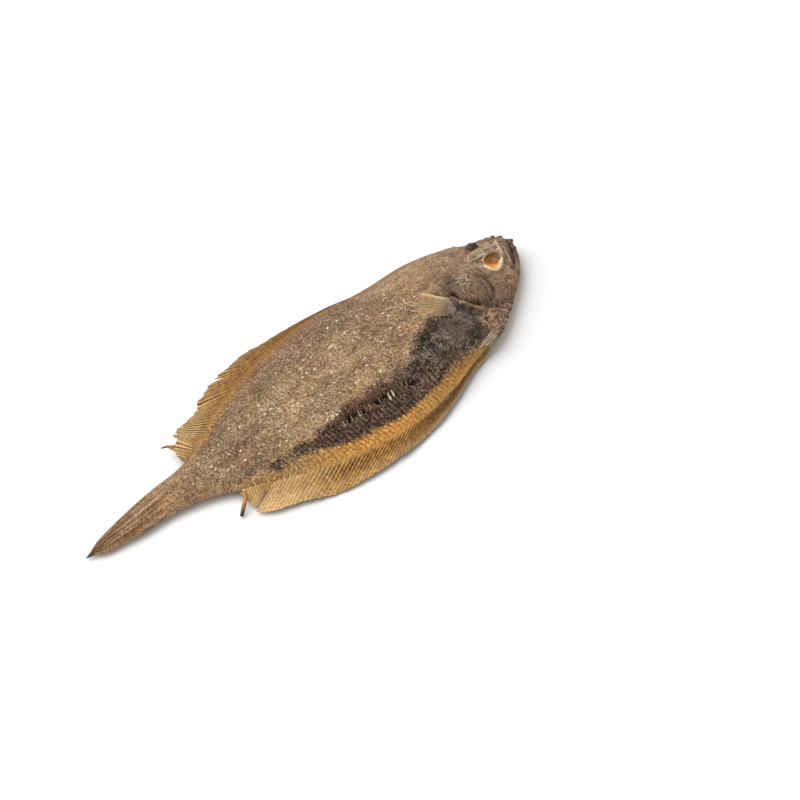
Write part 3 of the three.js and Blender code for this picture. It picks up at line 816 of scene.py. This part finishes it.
def fan_plan(form, u, s, ray):
    """Plan of a small fin, u across it and s from base to tip, with each ray broken off at its own length."""
    rays = form["rays"]
    lost = np.random.default_rng(form["seed"]).uniform(0, form["fray"], rays + 1)
    short = (lost * np.linspace(0.1, 1, rays + 1))[np.floor(rays * u).astype(int)]
    reach = s * (1 - s ** 2 * (short + 0.05 * (1 - ray)) - 0.1 * s * (2 * u - 1) ** 2)
    place = reach * (len(form["upper"]) - 1)
    upper, lower = ([along(axis, place) for axis in zip(*form[edge])] for edge in ("upper", "lower"))
    return [mix(a, b, u) for a, b in zip(upper, lower)]


def build_fan(name, form, ground, material):
    """A closed sheet with uneven rays, ragged at its tip and thinned out to its lower side."""
    across, out = np.linspace(0, 1, form["rays"] * FAN_STEPS_A_RAY + 1), np.linspace(0, 1, FAN_STEPS + 1)
    u, s = np.meshgrid(across, out, indexing="ij")
    number = form["rays"] * u - 0.5 + 0.3 * noise(u * 12, s * 3, 2, form["seed"])
    ray = np.cos(FULL_TURN * number)
    x, y = fan_plan(form, u, s, ray)
    under = np.vectorize(lambda a, b: height(ground, a, b))(x, y)
    under = mix(under, under.mean(axis=0, keepdims=True), 0.35)
    middle = under + form["proud"] * (1 - form["sink"] * u ** 2)
    middle = middle + form["crumple"] * noise(x, y, 1.6, form["seed"] + 1)
    rounded = np.sqrt(np.maximum(0, 1 - (2 * u - 1) ** 6))
    half = form["thick"] / 2 * rounded * smooth(s, 1, 0.85) * smooth(s, -0.15, 0.1)
    half = half + form["lobe"] * smooth(s, 0.5, 0.15) * rounded * smooth(s, -0.05, 0.2)
    half = half + 0.3 * bell(u - 0.05, 0.06) * smooth(s, 0.15, 0.35) * smooth(s, 1.1, 0.6)
    over = middle + half + form["relief"] / 2 * ray * rounded * smooth(s, 0.1, 0.4) * smooth(s, 1, 0.9)
    points = np.concatenate([np.stack([x, y, z], -1).reshape(-1, 3) for z in (over, middle - half)])
    faces = sheet_faces(u.shape)
    number, s, u = (np.tile(values.ravel(), 2) for values in (number, s, u))
    new_piece(name, points, faces, material, "fin", ray_no=number, reach=s, side=u)


def build_eye(ground, amber, bone):
    """The lower eye: a dried amber bowl sunk in its socket, with a pale bony rim round it."""
    turn = turns(RIM_STEPS)
    heading = np.stack([np.cos(turn), np.sin(turn)], axis=-1)
    reach = rim_reach(turn)
    thick = RIM_THICK + sum(extra * bell(turn_gap(turn, at), width) for at, width, extra in RIM_SWELLS)
    path = laid(ground, EYE["middle"] + heading * (reach * 1.06)[:, None], 0)
    path[:, 2] = (path[:, 2] + np.roll(path[:, 2], 3) + np.roll(path[:, 2], -3)) / 3
    path[:, 2] += 0.15 * noise(path[:, 0], path[:, 1], 1.6, 81)
    path[:, :2] = EYE["middle"] + heading * (reach * 1.02 - 0.7 * thick)[:, None]
    rim = tube(path, thick, RIM_SIDES, closed=True)
    new_piece("dab_eye_rim", *rim, bone, "bone", swell=np.repeat(thick, RIM_SIDES))
    share = np.linspace(1, 0.04, BOWL_RINGS)[:, None]
    x, y = (EYE["middle"][axis] + heading[:, axis] * (reach * share) for axis in (0, 1))
    z = mix(path[:, 2], path[:, 2].mean(), 1 - share) - 0.1 - EYE["bowl"] * (1 - share ** 2)
    z = z + 0.22 * noise(x, y, 2.2, 82) * (1 - share)
    # Painted light across the bowl: lit towards EYE_SHINE, in painted shade away from it.
    shine = 0.5 + 0.5 * share * np.cos(turn_gap(turn, EYE_SHINE))
    grid = np.arange(x.size).reshape(x.shape)
    faces = [*grid_faces(ringed(grid))[:, [0, 3, 2, 1]].tolist(), grid[-1].tolist()]
    new_piece("dab_eye", np.stack([x, y, z], -1).reshape(-1, 3), faces, amber, "eye", shine=shine)


def lump(form, z):
    """A wrinkled bead with its middle at that height, as points and faces."""
    tilt, turn = np.meshgrid(np.linspace(0, np.pi, LUMP_ROWS), turns(LUMP_SIDES), indexing="ij")
    ball = np.stack([np.sin(tilt) * np.cos(turn), np.sin(tilt) * np.sin(turn), np.cos(tilt)])
    swell = 1 + form["wrinkle"] * noise(ball[0] * 3 + 9, ball[1] * 3 + ball[2], 1, form["seed"])
    a, b, rise = (ball[axis] * form["radii"][axis] * swell for axis in range(3))
    x, y = turned(a, b, form["turn"])
    points = np.stack([form["x"] + x, form["y"] + y, z + rise], axis=-1)
    return points.reshape(-1, 3), grid_faces(ringed(np.arange(tilt.size).reshape(tilt.shape))).tolist()


def build_upper_eye(ground, dark, lid):
    """The upper eye, dried to a dark bead, with a fold of skin round its foot."""
    form = UPPER_EYE
    z = height(ground, form["x"], form["y"]) + form["proud"]
    new_piece("dab_upper_eye", *lump(form, z), dark, "eye")
    turn = turns(LID["steps"])
    a, b = (LID["size"] * radius for radius in form["radii"][:2])
    x, y = turned(np.cos(turn) * a, np.sin(turn) * b, form["turn"])
    path = laid(ground, zip(form["x"] + x, form["y"] + y), LID["proud"])
    thick = LID["thick"] + LID["uneven"] * noise(turn * 3, turn, 1, LID["seed"])
    new_piece("dab_upper_lid", *tube(path, thick, closed=True), lid, "skin")


def build_snout_lumps(ground, material):
    shapes = []
    for n, (x, y, size) in enumerate(SNOUT_LUMPS):
        form = {"x": x, "y": y, "radii": [size * share for share in LUMP_SHAPE], "turn": LUMP_TURN * n,
                "wrinkle": LUMP_WRINKLE, "seed": LUMP_SEED + n}
        shapes.append(lump(form, height(ground, x, y)))
    new_piece("dab_snout_lumps", *join(shapes), material, "skin")


def build_ribs(skin, ground, material):
    rods, draw = [], np.random.default_rng(RIB_SEED)
    for t, length, thick in RIBS:
        column = skin.column(t)
        row = np.argmin(np.abs(skin.across[column] - skin.lip[column] + 0.03))
        x, y = skin.x[column, row], skin.y[column, row]
        foot = (x - draw.normal(*RIB_LEAN) * length, y - 0.95 * length)
        path = curve_points([(x + 0.1, y + 0.3), (x - 0.12 * length, y - 0.45 * length), foot], RIB_STEPS)
        rods.append(tube(laid(ground, path, 0.55 * thick), thick * np.linspace(0.7, 1, len(path)), RIB_SIDES))
    new_piece("dab_rib_ends", *join(rods), material, "bone")


def build_spines(material):
    for name, form in SPINES.items():
        path = curve_points(form["path"], SPINE_STEPS)
        thick = along(form["thick"], np.linspace(0, len(form["thick"]) - 1, len(path)))
        reach = np.repeat(np.linspace(0, 1, len(path)), ROD_SIDES)
        new_piece(name, *tube(path, thick), material, "fin", reach=reach)


def scale_shape(draw, ground, place, turn, form, share=1):
    """A thin ragged scale lying on the fish, as points and faces."""
    size, slim, count = share * draw.uniform(*form["size"]), draw.uniform(*form["slim"]), SCALE_CORNERS
    corners = turns(count) + draw.uniform(-0.3, 0.3, count)
    reach = size * draw.uniform(0.65, 1.3, count)
    x, y = turned(np.cos(corners) * reach, np.sin(corners) * reach * slim, turn)
    rim = laid(ground, zip(place[0] + x, place[1] + y), -0.04)
    crown = rim.mean(axis=0, keepdims=True) + (0, 0, 0.2)
    return np.concatenate([rim, crown]), [(n, (n + 1) % count, count) for n in range(count)]


def build_flakes(skin, ground, material):
    """Scales lying on the flank, most of them pointing along the fish, and a clump behind the lip."""
    draw = np.random.default_rng(FLAKES["seed"])
    shapes = []
    while len(shapes) < FLAKES["count"]:
        t, v = draw.uniform(*FLAKES["span"]), np.clip(draw.normal(*FLAKES["v"]), -0.95, 0.95)
        crowd = 0.3 + 0.7 * bell(t - 8.4, 1.5) * bell(v - 0.25, 0.35) + 0.55 * bell(t - 3.8, 0.7)
        if draw.uniform() > crowd or v < read_curve(STAIN_HIGH, t) + 0.06:
            continue
        turn, share = draw.normal(*FLAKES["turn"]), mix(0.55, 1, smooth(t, 4, 5.6))
        shapes.append(scale_shape(draw, ground, skin.place(t, v), turn, FLAKES, share))
    for _ in range(CLUMP["count"]):
        place = skin.place(draw.normal(*CLUMP["t"]), draw.normal(*CLUMP["v"]))
        shapes.append(scale_shape(draw, ground, place, draw.uniform(0, np.pi), CLUMP))
    new_piece("dab_flakes", *join(shapes), material, "skin")


def build_shreds(skin, ground, material):
    """Torn bits of skin that hang from the lip over the gap."""
    draw = np.random.default_rng(SHREDS["seed"])
    shapes = []
    for _ in range(SHREDS["count"]):
        t = draw.uniform(*SHREDS["span"])
        place = skin.place(t, skin.lip[skin.column(t), 0] + draw.normal(*SHREDS["off"]))
        shapes.append(scale_shape(draw, ground, place, draw.normal(*SHREDS["turn"]), SHREDS))
    new_piece("dab_lip_shreds", *join(shapes), material, "skin")


class Graph:
    """Short calls for a node material."""

    def __init__(self, name):
        self.material = bpy.data.materials.new(name)
        self.material.use_nodes = True
        self.tree = self.material.node_tree
        self.shader = self.tree.nodes["Principled BSDF"]
        self.coords = self.tree.nodes.new("ShaderNodeTexCoord").outputs["Object"]

    def put(self, socket, value):
        if isinstance(value, bpy.types.NodeSocket):
            self.tree.links.new(value, socket)
        else:
            socket.default_value = value

    def node(self, kind, inputs, **settings):
        made = self.tree.nodes.new(kind)
        for key, value in settings.items():
            setattr(made, key, value)
        for key, value in inputs.items():
            self.put(made.inputs[key], value)
        return made

    def field(self, name):
        return self.node("ShaderNodeAttribute", {}, attribute_name=name).outputs["Fac"]

    def grain(self, size, detail=4, rough=0.65, bend=0, stretch=None):
        """Noise from 0 to 1 with lumps of about that many millimetres."""
        place = self.coords
        if stretch:
            place = self.node("ShaderNodeMapping", {"Vector": place, "Scale": stretch}).outputs[0]
        inputs = {"Vector": place, "Scale": 1 / (size * MM), "Detail": detail, "Roughness": rough,
                  "Distortion": bend}
        return self.node("ShaderNodeTexNoise", inputs).outputs["Fac"]

    def specks(self):
        """Cells as small as scales: a random value for each, and the distance from its middle."""
        inputs = {"Vector": self.coords, "Scale": 1 / (SPECK_SIZE * MM), "Randomness": 1}
        cells = self.node("ShaderNodeTexVoronoi", inputs, feature="F1")
        return cells.outputs["Color"], cells.outputs["Distance"]

    def math(self, operation, a, b=0, clamp=False):
        return self.node("ShaderNodeMath", {0: a, 1: b}, operation=operation, use_clamp=clamp).outputs[0]

    def add(self, a, b, clamp=False):
        return self.math("ADD", a, b, clamp)

    def minus(self, a, b):
        return self.math("SUBTRACT", a, b)

    def times(self, a, b, clamp=False):
        return self.math("MULTIPLY", a, b, clamp)

    def level(self, value, low, high, to_low=0, to_high=1):
        """A value stretched smoothly so that low to high becomes to_low to to_high."""
        inputs = {"Value": value, "From Min": low, "From Max": high, "To Min": to_low, "To Max": to_high}
        return self.node("ShaderNodeMapRange", inputs, interpolation_type="SMOOTHSTEP").outputs[0]

    def waves(self, number):
        """1 where a number is whole, 0 half way between."""
        return self.level(self.math("COSINE", self.times(number, FULL_TURN)), -1, 1)

    def ragged(self, mask, grit, amount, width):
        """A soft mask given a grainy edge, and left alone where it is 0 or 1."""
        edge = self.times(self.times(mask, self.minus(1, mask)), 4 * amount)
        pushed = self.add(mask, self.times(self.minus(grit, 0.5), edge))
        return self.level(pushed, 0.5 - width, 0.5 + width)

    def blend(self, factor, a, b, how="MIX"):
        inputs = {0: factor, 6: a, 7: b}
        for key in (6, 7):
            if isinstance(inputs[key], tuple):
                inputs[key] = (*inputs[key], 1)
        return self.node("ShaderNodeMix", inputs, data_type="RGBA", blend_type=how).outputs[2]

    def shaded(self, colour, amount):
        """A colour made lighter or darker by an amount."""
        return self.blend(1, colour, amount, "MULTIPLY")

    def bump(self, height, strength, depth):
        inputs = {"Height": height, "Strength": strength, "Distance": depth * MM}
        return self.node("ShaderNodeBump", inputs).outputs[0]

    def finish(self, colour, rough, normal, gloss):
        for key, value in (("Base Color", colour), ("Roughness", rough), ("Normal", normal),
                           ("Specular IOR Level", gloss)):
            self.put(self.shader.inputs[key], value)
        return self.material


def skin_material():
    """The eyed side, its stains and fins, and the blind side."""
    g = Graph("dried_skin")
    blot, folds = g.grain(3.4), g.grain(1.1, bend=0.4, stretch=(0.4, 1, 1))
    speck, off_middle = g.specks()
    fine = g.level(g.add(g.times(speck, 0.85), g.times(g.grain(1.3, 3, 0.7), 0.3)), 0.2, 0.95)
    coarse = g.level(g.grain(2.6, bend=0.6), 0.36, 0.64)
    softer = g.times(g.field("soft"), 0.6)
    grain = g.add(fine, g.times(softer, g.minus(coarse, fine)))
    colour = stained(g, flank_colour(g, grain, blot), grain, blot, speck)
    colour = tail_colour(g, colour, grain)
    colour = g.blend(g.ragged(g.field("fin"), speck, 0.8, 0.4), colour, fin_colour(g, speck))
    # Yellow on the ridge: its own colour and partly a painted highlight on the crest.
    colour = g.blend(g.times(g.field("ridge"), g.level(speck, 0.1, 0.9, 0.3, 0.9)), colour, YELLOW)
    colour = marked(g, colour, grain, blot, speck, folds)
    colour = g.blend(g.field("under"), colour, blind_colour(g, colour, speck))
    ribbed = g.math("MAXIMUM", g.field("fin"), g.times(g.field("ribbed"), 0.6))
    rays = g.times(g.waves(g.field("ray_no")), ribbed)
    scales = g.times(g.minus(g.times(speck, 0.5), g.times(off_middle, 0.7)), g.minus(1, softer))
    height = g.add(g.add(scales, g.times(blot, 0.8)), g.times(rays, 0.6))
    height = g.add(height, g.times(g.times(folds, g.add(g.field("brow"), g.field("lips"))), 3))
    return g.finish(colour, g.level(speck, 0, 1, 0.75, 0.5), g.bump(height, 0.7, 0.3), 0.15)


def flank_colour(g, grain, blot):
    """Sandy skin, clouded from pinkish to olive, and muddy on the head."""
    cloud = g.level(g.grain(11, 2, 0.5, 0.4, (0.6, 1.2, 1)), 0.35, 0.65)
    skin = g.blend(cloud, g.blend(grain, SAND_DARK, SAND), g.blend(grain, OLIVE_DARK, OLIVE))
    rosy = g.add(g.field("back_edge"), g.level(g.grain(16, 2, 0.55), 0.45, 0.7, 0, 0.8), True)
    skin = g.blend(rosy, skin, g.blend(grain, ROSE_DARK, ROSE))
    smudge = g.grain(9, bend=0.5, stretch=(0.45, 1, 1))
    skin = g.shaded(skin, g.times(g.field("tone"), g.level(smudge, 0.34, 0.62, 0.7, 1.12)))
    skin = g.blend(g.level(grain, 0.88, 0.99, 0, 0.22), skin, FLECK)
    mud = g.blend(g.level(g.grain(4.5, bend=0.4), 0.45, 0.7, 0, 0.5), MUD, BROWN)
    mud = g.shaded(g.blend(grain, MUD_DARK, mud), g.field("tone"))
    return g.blend(g.ragged(g.field("shade"), blot, 1, 0.5), skin, mud)


def stained(g, colour, grain, blot, speck):
    """The gold strip, the dark patch and the dark band over the flank, with dust, a painted highlight on the
    cheek and the throat on top.
    """
    rough_edge = g.add(g.times(blot, 0.55), g.times(speck, 0.45))
    colour = g.blend(g.ragged(g.field("gold"), rough_edge, 1.1, 0.5), colour, gold_colour(g, grain))
    grit = g.minus(g.add(g.times(blot, 0.3), 0.7), g.times(speck, 0.7))
    for zone, stain in (("patch", patch_colour(g, blot, speck)), ("band", band_colour(g, speck))):
        colour = g.blend(g.ragged(g.field(zone), grit, 0.75, 0.5), colour, stain)
    # Pale specks: dust on the patch and a painted highlight on the cheek's top.
    colour = g.blend(g.times(g.field("dust_and_highlight"), g.level(speck, 0.35, 0.75)), colour, FROST)
    return g.blend(g.field("throat"), colour, throat_colour(g, grain, speck))


def gold_colour(g, grain):
    """The strip along the belly fin, ribbed like the fin."""
    ribs = g.level(g.waves(g.field("ray_no")), 0.1, 0.8, 0.8, 1.14)
    orange = g.blend(g.field("front_fin"), BRIGHT_GOLD, GOLD)
    orange = g.blend(g.level(g.grain(4, 3, 0.6), 0.42, 0.65), orange, YELLOW)
    orange = g.blend(g.field("pale_fin"), orange, PALE_GOLD)
    rear = g.level(g.field("pale_fin"), 0, 1, 1, 0.82)
    golden = g.shaded(g.blend(grain, OCHRE, orange), g.times(ribs, rear))
    return g.blend(g.level(grain, 0.9, 0.99, 0, 0.5), golden, SPARKLE)


def patch_colour(g, blot, speck):
    """Dark mottled skin over the belly, with pale specks."""
    folds = g.level(g.grain(7, 3, 0.6, 0.5), 0.36, 0.64)
    mottle = g.add(g.add(g.times(folds, 0.28), g.times(blot, 0.2)), g.times(speck, 0.45))
    skin = g.blend(g.level(mottle, 0.2, 0.74), PURPLE_BROWN, ASH)
    return g.blend(g.level(speck, 0.8, 0.95, 0, 0.45), skin, FROST)


def band_colour(g, speck):
    """The dark hollow of the belly, with the ribs showing through."""
    ribs = g.times(g.level(g.waves(g.field("ray_no")), 0.5, 1), g.field("ribbed"))
    ribs = g.times(ribs, g.level(g.grain(2.6, 3, 0.6), 0.4, 0.6, 0.2, 1))
    bright = g.add(g.times(speck, 0.55), g.times(g.grain(1.4, 3, 0.7), 0.25))
    skin = g.blend(g.level(g.add(bright, g.times(ribs, 0.42)), 0.24, 0.86), CHARCOAL, SLATE)
    return g.blend(g.level(speck, 0.8, 0.95, 0, 0.5), skin, FROST)


def throat_colour(g, grain, speck):
    """Wrinkled skin of the throat: pale grains and creases over dark brown."""
    creases = g.level(g.grain(1.7, 3, 0.65, 0.8, (0.45, 1, 1)), 0.34, 0.66)
    net = g.level(g.add(g.times(creases, 0.5), g.times(speck, 0.5)), 0.16, 0.7)
    return g.blend(net, g.blend(grain, LIP_BROWN, MUD_DARK), g.blend(grain, MUD_DARK, SAND))


def tail_colour(g, colour, grain):
    """The closed tail fin: brown, with fine dark and pale lines along its rays."""
    tail, number = g.field("tail"), g.field("tail_no")
    patchy = g.level(g.grain(5, 3, 0.6, 0, (0.35, 1.6, 1)), 0.36, 0.6)
    brown = g.blend(grain, ROSE_DARK, g.blend(patchy, RUST, SAND))
    colour = g.blend(g.times(tail, 0.75), colour, brown)
    pale = g.times(g.level(g.waves(number), 0.75, 1, 0, 0.4), patchy)
    dark = g.level(g.waves(g.times(number, 2)), 0.2, 0.02, 0, 0.6)
    dark = g.times(g.times(dark, tail), g.level(g.grain(6, 2, 0.55), 0.35, 0.6))
    colour = g.blend(dark, g.blend(g.times(pale, tail), colour, SAND), RAY_GAP)
    return g.blend(g.times(g.field("tail_tip"), 0.85), colour, LIP_BROWN)


def fin_colour(g, speck):
    """Golden rays with dark membrane between them, paler and plainer towards the edge and the tail."""
    reach, pale, back, front = (g.field(name) for name in ("reach", "pale_fin", "back_fin", "front_fin"))
    golden = g.blend(g.level(g.grain(1.8, 3, 0.6), 0.35, 0.65), RAY_BROWN, RAY_GOLD)
    golden = g.blend(g.add(g.times(pale, 0.6), g.level(reach, 0.35, 0.9, 0, 0.3), True), golden, STRAW)
    golden = g.blend(g.times(front, 0.55), golden, BROWN)
    golden = g.blend(g.times(back, g.level(reach, 0, 0.5, 0.7, 0)), golden, RAY_BROWN)
    golden = g.blend(g.times(front, g.level(reach, 0.6, 0.95, 0, 0.75)), golden, PALE_GOLD)
    plain = g.times(g.level(reach, 0.9, 0.2, 0.2, 1), g.level(pale, 0, 1, 1, 0.35))
    gap = g.level(g.waves(g.field("ray_no")), 0.38, 0.06)
    gap = g.times(gap, g.math("MAXIMUM", plain, g.times(back, 0.95)))
    gap = g.times(gap, g.level(g.grain(6, 3, 0.55), 0.3, 0.5, 0.6, 1))
    gap = g.times(gap, g.level(reach, 0, 0.25, 0.3, 1))
    return g.shaded(g.blend(gap, golden, RAY_GAP), g.level(speck, 0.1, 0.9, 0.74, 1.2))


def marked(g, colour, grain, blot, speck, folds):
    """The dark mouth, the pale brow, rusty places, bony edges and painted shade in creases and gaps over the
    rest.
    """
    colour = g.blend(g.field("lips"), colour, g.blend(g.level(blot, 0.35, 0.65), LIP_BROWN, SNOUT_BROWN))
    colour = g.blend(g.field("brow"), colour, g.blend(g.level(folds, 0.38, 0.62), BROWN, PINK_BONE))
    rusty = g.times(g.field("rust"), g.level(speck, 0.2, 0.6), True)
    colour = g.blend(rusty, colour, g.blend(grain, LIP_BROWN, RUST))
    colour = g.blend(g.times(g.field("bony"), g.level(speck, 0, 0.7, 0.3, 1), True), colour, BONE)
    # Painted shade in creases and gaps, and dark spots, darken what lies under them.
    return g.shaded(colour, g.level(g.field("gloom"), 0, 0.9, 1, 0.13))


def blind_colour(g, over, speck):
    """The blind side: pale and waxy, finely scaled, with brown clouds."""
    cloud = g.level(g.grain(11, 5), 0.4, 0.68)
    pale = g.shaded(g.blend(cloud, BLIND, BLIND_BROWN), g.level(speck, 0.1, 0.9, 0.78, 1.12))
    return g.blend(g.times(g.field("fin"), 0.8), pale, over)


def small_fin_material(name, light, dark, base, worn):
    """A small fin: pale rays on darker membrane, a bright upper edge, a fleshy base, a worn lower side."""
    g = Graph(name)
    speck = g.specks()[0]
    reach, side = g.field("reach"), g.field("side")
    streak = g.add(g.times(g.waves(g.field("ray_no")), 0.3), g.times(g.grain(1.6, 3, 0.55), 0.5))
    streak = g.add(streak, g.times(speck, 0.2))
    colour = g.blend(g.level(streak, 0.25, 0.8), dark, light)
    old = g.times(g.level(side, 0.4, 1), g.level(reach, 0.3, 0.8, 0.2, 0.8))
    old = g.add(old, g.level(reach, 0.85, 1, 0, 0.5), True)
    colour = g.blend(g.ragged(old, speck, 1, 0.5), colour, g.blend(speck, dark, worn))
    colour = g.blend(g.level(side, 0.16, 0.06, 0, 0.8), colour, STRAW)
    fleshy = g.blend(g.level(speck, 0.15, 0.9), LIP_BROWN, base)
    colour = g.blend(g.ragged(g.level(reach, 0.5, 0.14), speck, 1.6, 0.45), colour, fleshy)
    return g.finish(colour, 0.6, g.bump(streak, 0.5, 0.25), 0.3)


def grainy_material(name, light, dark, size, rough, gloss):
    """One thing of two colours, mottled and finely bumped."""
    g = Graph(name)
    mottle = g.grain(size)
    colour = g.blend(g.level(mottle, 0.35, 0.65), dark, light)
    height = g.add(mottle, g.grain(size * 0.3, 2, 0.55))
    return g.finish(colour, g.level(mottle, 0.3, 0.7, rough, rough + 0.15), g.bump(height, 0.5, 0.15), gloss)


def rim_material():
    """Bone where the rim of the eye is thick, brown skin where it is thin."""
    g = Graph("eye_rim")
    mottle = g.grain(1.4)
    swell = g.add(g.field("swell"), g.times(g.minus(mottle, 0.5), 0.3))
    colour = g.blend(g.level(mottle, 0.35, 0.65), BONE, FLECK)
    colour = g.blend(g.level(swell, 0.45, 0.25), colour, MUD)
    return g.finish(colour, 0.45, g.bump(mottle, 0.5, 0.15), 0.4)


def eye_material():
    """A dried eye: amber, with painted shade on one side of its bowl and a painted highlight on the lit side.
    """
    g = Graph("dried_eye")
    mottle = g.grain(1.6)
    lit = g.add(g.field("shine"), g.times(g.minus(mottle, 0.5), 1.3))
    # Painted shade where the bowl is unlit, amber where lit, and a painted highlight where it is brightest.
    colour = g.blend(g.level(lit, 0.12, 0.86), SHADED_AMBER, AMBER)
    colour = g.blend(g.level(lit, 0.86, 1.1), colour, FLECK)
    return g.finish(colour, 0.45, g.bump(mottle, 0.5, 0.2), 0.25)


def spine_material():
    """A golden brown ray, dark towards its tip."""
    g = Graph("dried_spine")
    sand = g.grain(0.8, 3, 0.7)
    colour = g.blend(g.level(sand, 0.35, 0.65), RAY_BROWN, RAY_GOLD)
    colour = g.blend(g.level(g.field("reach"), 0.5, 0.95), colour, CHARCOAL)
    return g.finish(colour, 0.55, g.bump(sand, 0.5, 0.15), 0.3)


def build_stage():
    mesh = bpy.data.meshes.new("floor")
    corners = [(x * FLOOR_HALF, y * FLOOR_HALF, 0) for x, y in ((-1, -1), (1, -1), (1, 1), (-1, 1))]
    mesh.from_pydata(corners, [], [(0, 1, 2, 3)])
    floor = placed("floor", mesh)
    g = Graph("floor_white")
    mesh.materials.append(g.finish((*FLOOR_WHITE, 1), 0.8, g.bump(g.grain(3, 4, 0.55), 0.02, 0.1), 0.1))


def build_light():
    scene = bpy.context.scene
    scene.world = bpy.data.worlds.new("soft_room")
    scene.world.use_nodes = True
    sky = scene.world.node_tree.nodes["Background"].inputs
    sky["Color"].default_value = (1, 1, 1, 1)
    sky["Strength"].default_value = SKY_STRENGTH
    for name, (place, size, power) in LIGHTS.items():
        data = bpy.data.lights.new(name, "AREA")
        data.size = size
        data.energy = power
        light = placed(name, data)
        light.location = place
        light.rotation_euler = (-Vector(place)).to_track_quat("-Z", "Y").to_euler()
    scene.view_settings.view_transform = "Standard"


def build_camera():
    a, e, r = (math.radians(CAMERA[key]) for key in ("azimuth", "elevation", "roll"))
    back = Vector((math.sin(a) * math.cos(e), -math.cos(a) * math.cos(e), math.sin(e)))
    level = Vector((math.cos(a), math.sin(a), 0))
    upright = back.cross(level)
    right = math.cos(r) * level - math.sin(r) * upright
    up = math.cos(r) * upright + math.sin(r) * level
    data = bpy.data.cameras.new("camera")
    data.lens = CAMERA["lens"]
    data.sensor_width = CAMERA["sensor"]
    data.clip_end = SIGHT
    camera = placed("camera", data)
    turn = Matrix((right, up, back)).transposed().to_4x4()
    camera.matrix_world = Matrix.Translation(Vector(to_frame(CAMERA["place"]))) @ turn
    bpy.context.scene.camera = camera


build_camera()
build_light()
build_stage()
skin, ground = build_fish(skin_material())
bone = grainy_material("dried_bone", FLECK, BONE, 2, 0.5, 0.4)
bead = grainy_material("dark_eye", LIP_BROWN, NEAR_BLACK, 1.2, 0.5, 0.3)
lid = grainy_material("eye_lid", BROWN, PURPLE_BROWN, 1, 0.6, 0.3)
flake = grainy_material("loose_scale", FLECK, BONE, 1, 0.5, 0.35)
build_eye(ground, eye_material(), rim_material())
build_upper_eye(ground, bead, lid)
build_snout_lumps(ground, grainy_material("mouth_skin", SNOUT_BROWN, LIP_BROWN, 1.2, 0.6, 0.3))
breast_skin = small_fin_material("breast_fin", FIN_LIGHT, FIN_DARK, FIN_LOBE, SAND)
build_fan("dab_breast_fin", BREAST_FIN, ground, breast_skin)
build_fan("dab_throat_fin", THROAT_FIN, ground, small_fin_material("throat_fin", FLECK, BROWN, MUD, BONE))
build_ribs(skin, ground, bone)
build_spines(spine_material())
build_flakes(skin, ground, flake)
build_shreds(skin, ground, grainy_material("torn_skin", BROWN, PURPLE_BROWN, 0.8, 0.6, 0.3))
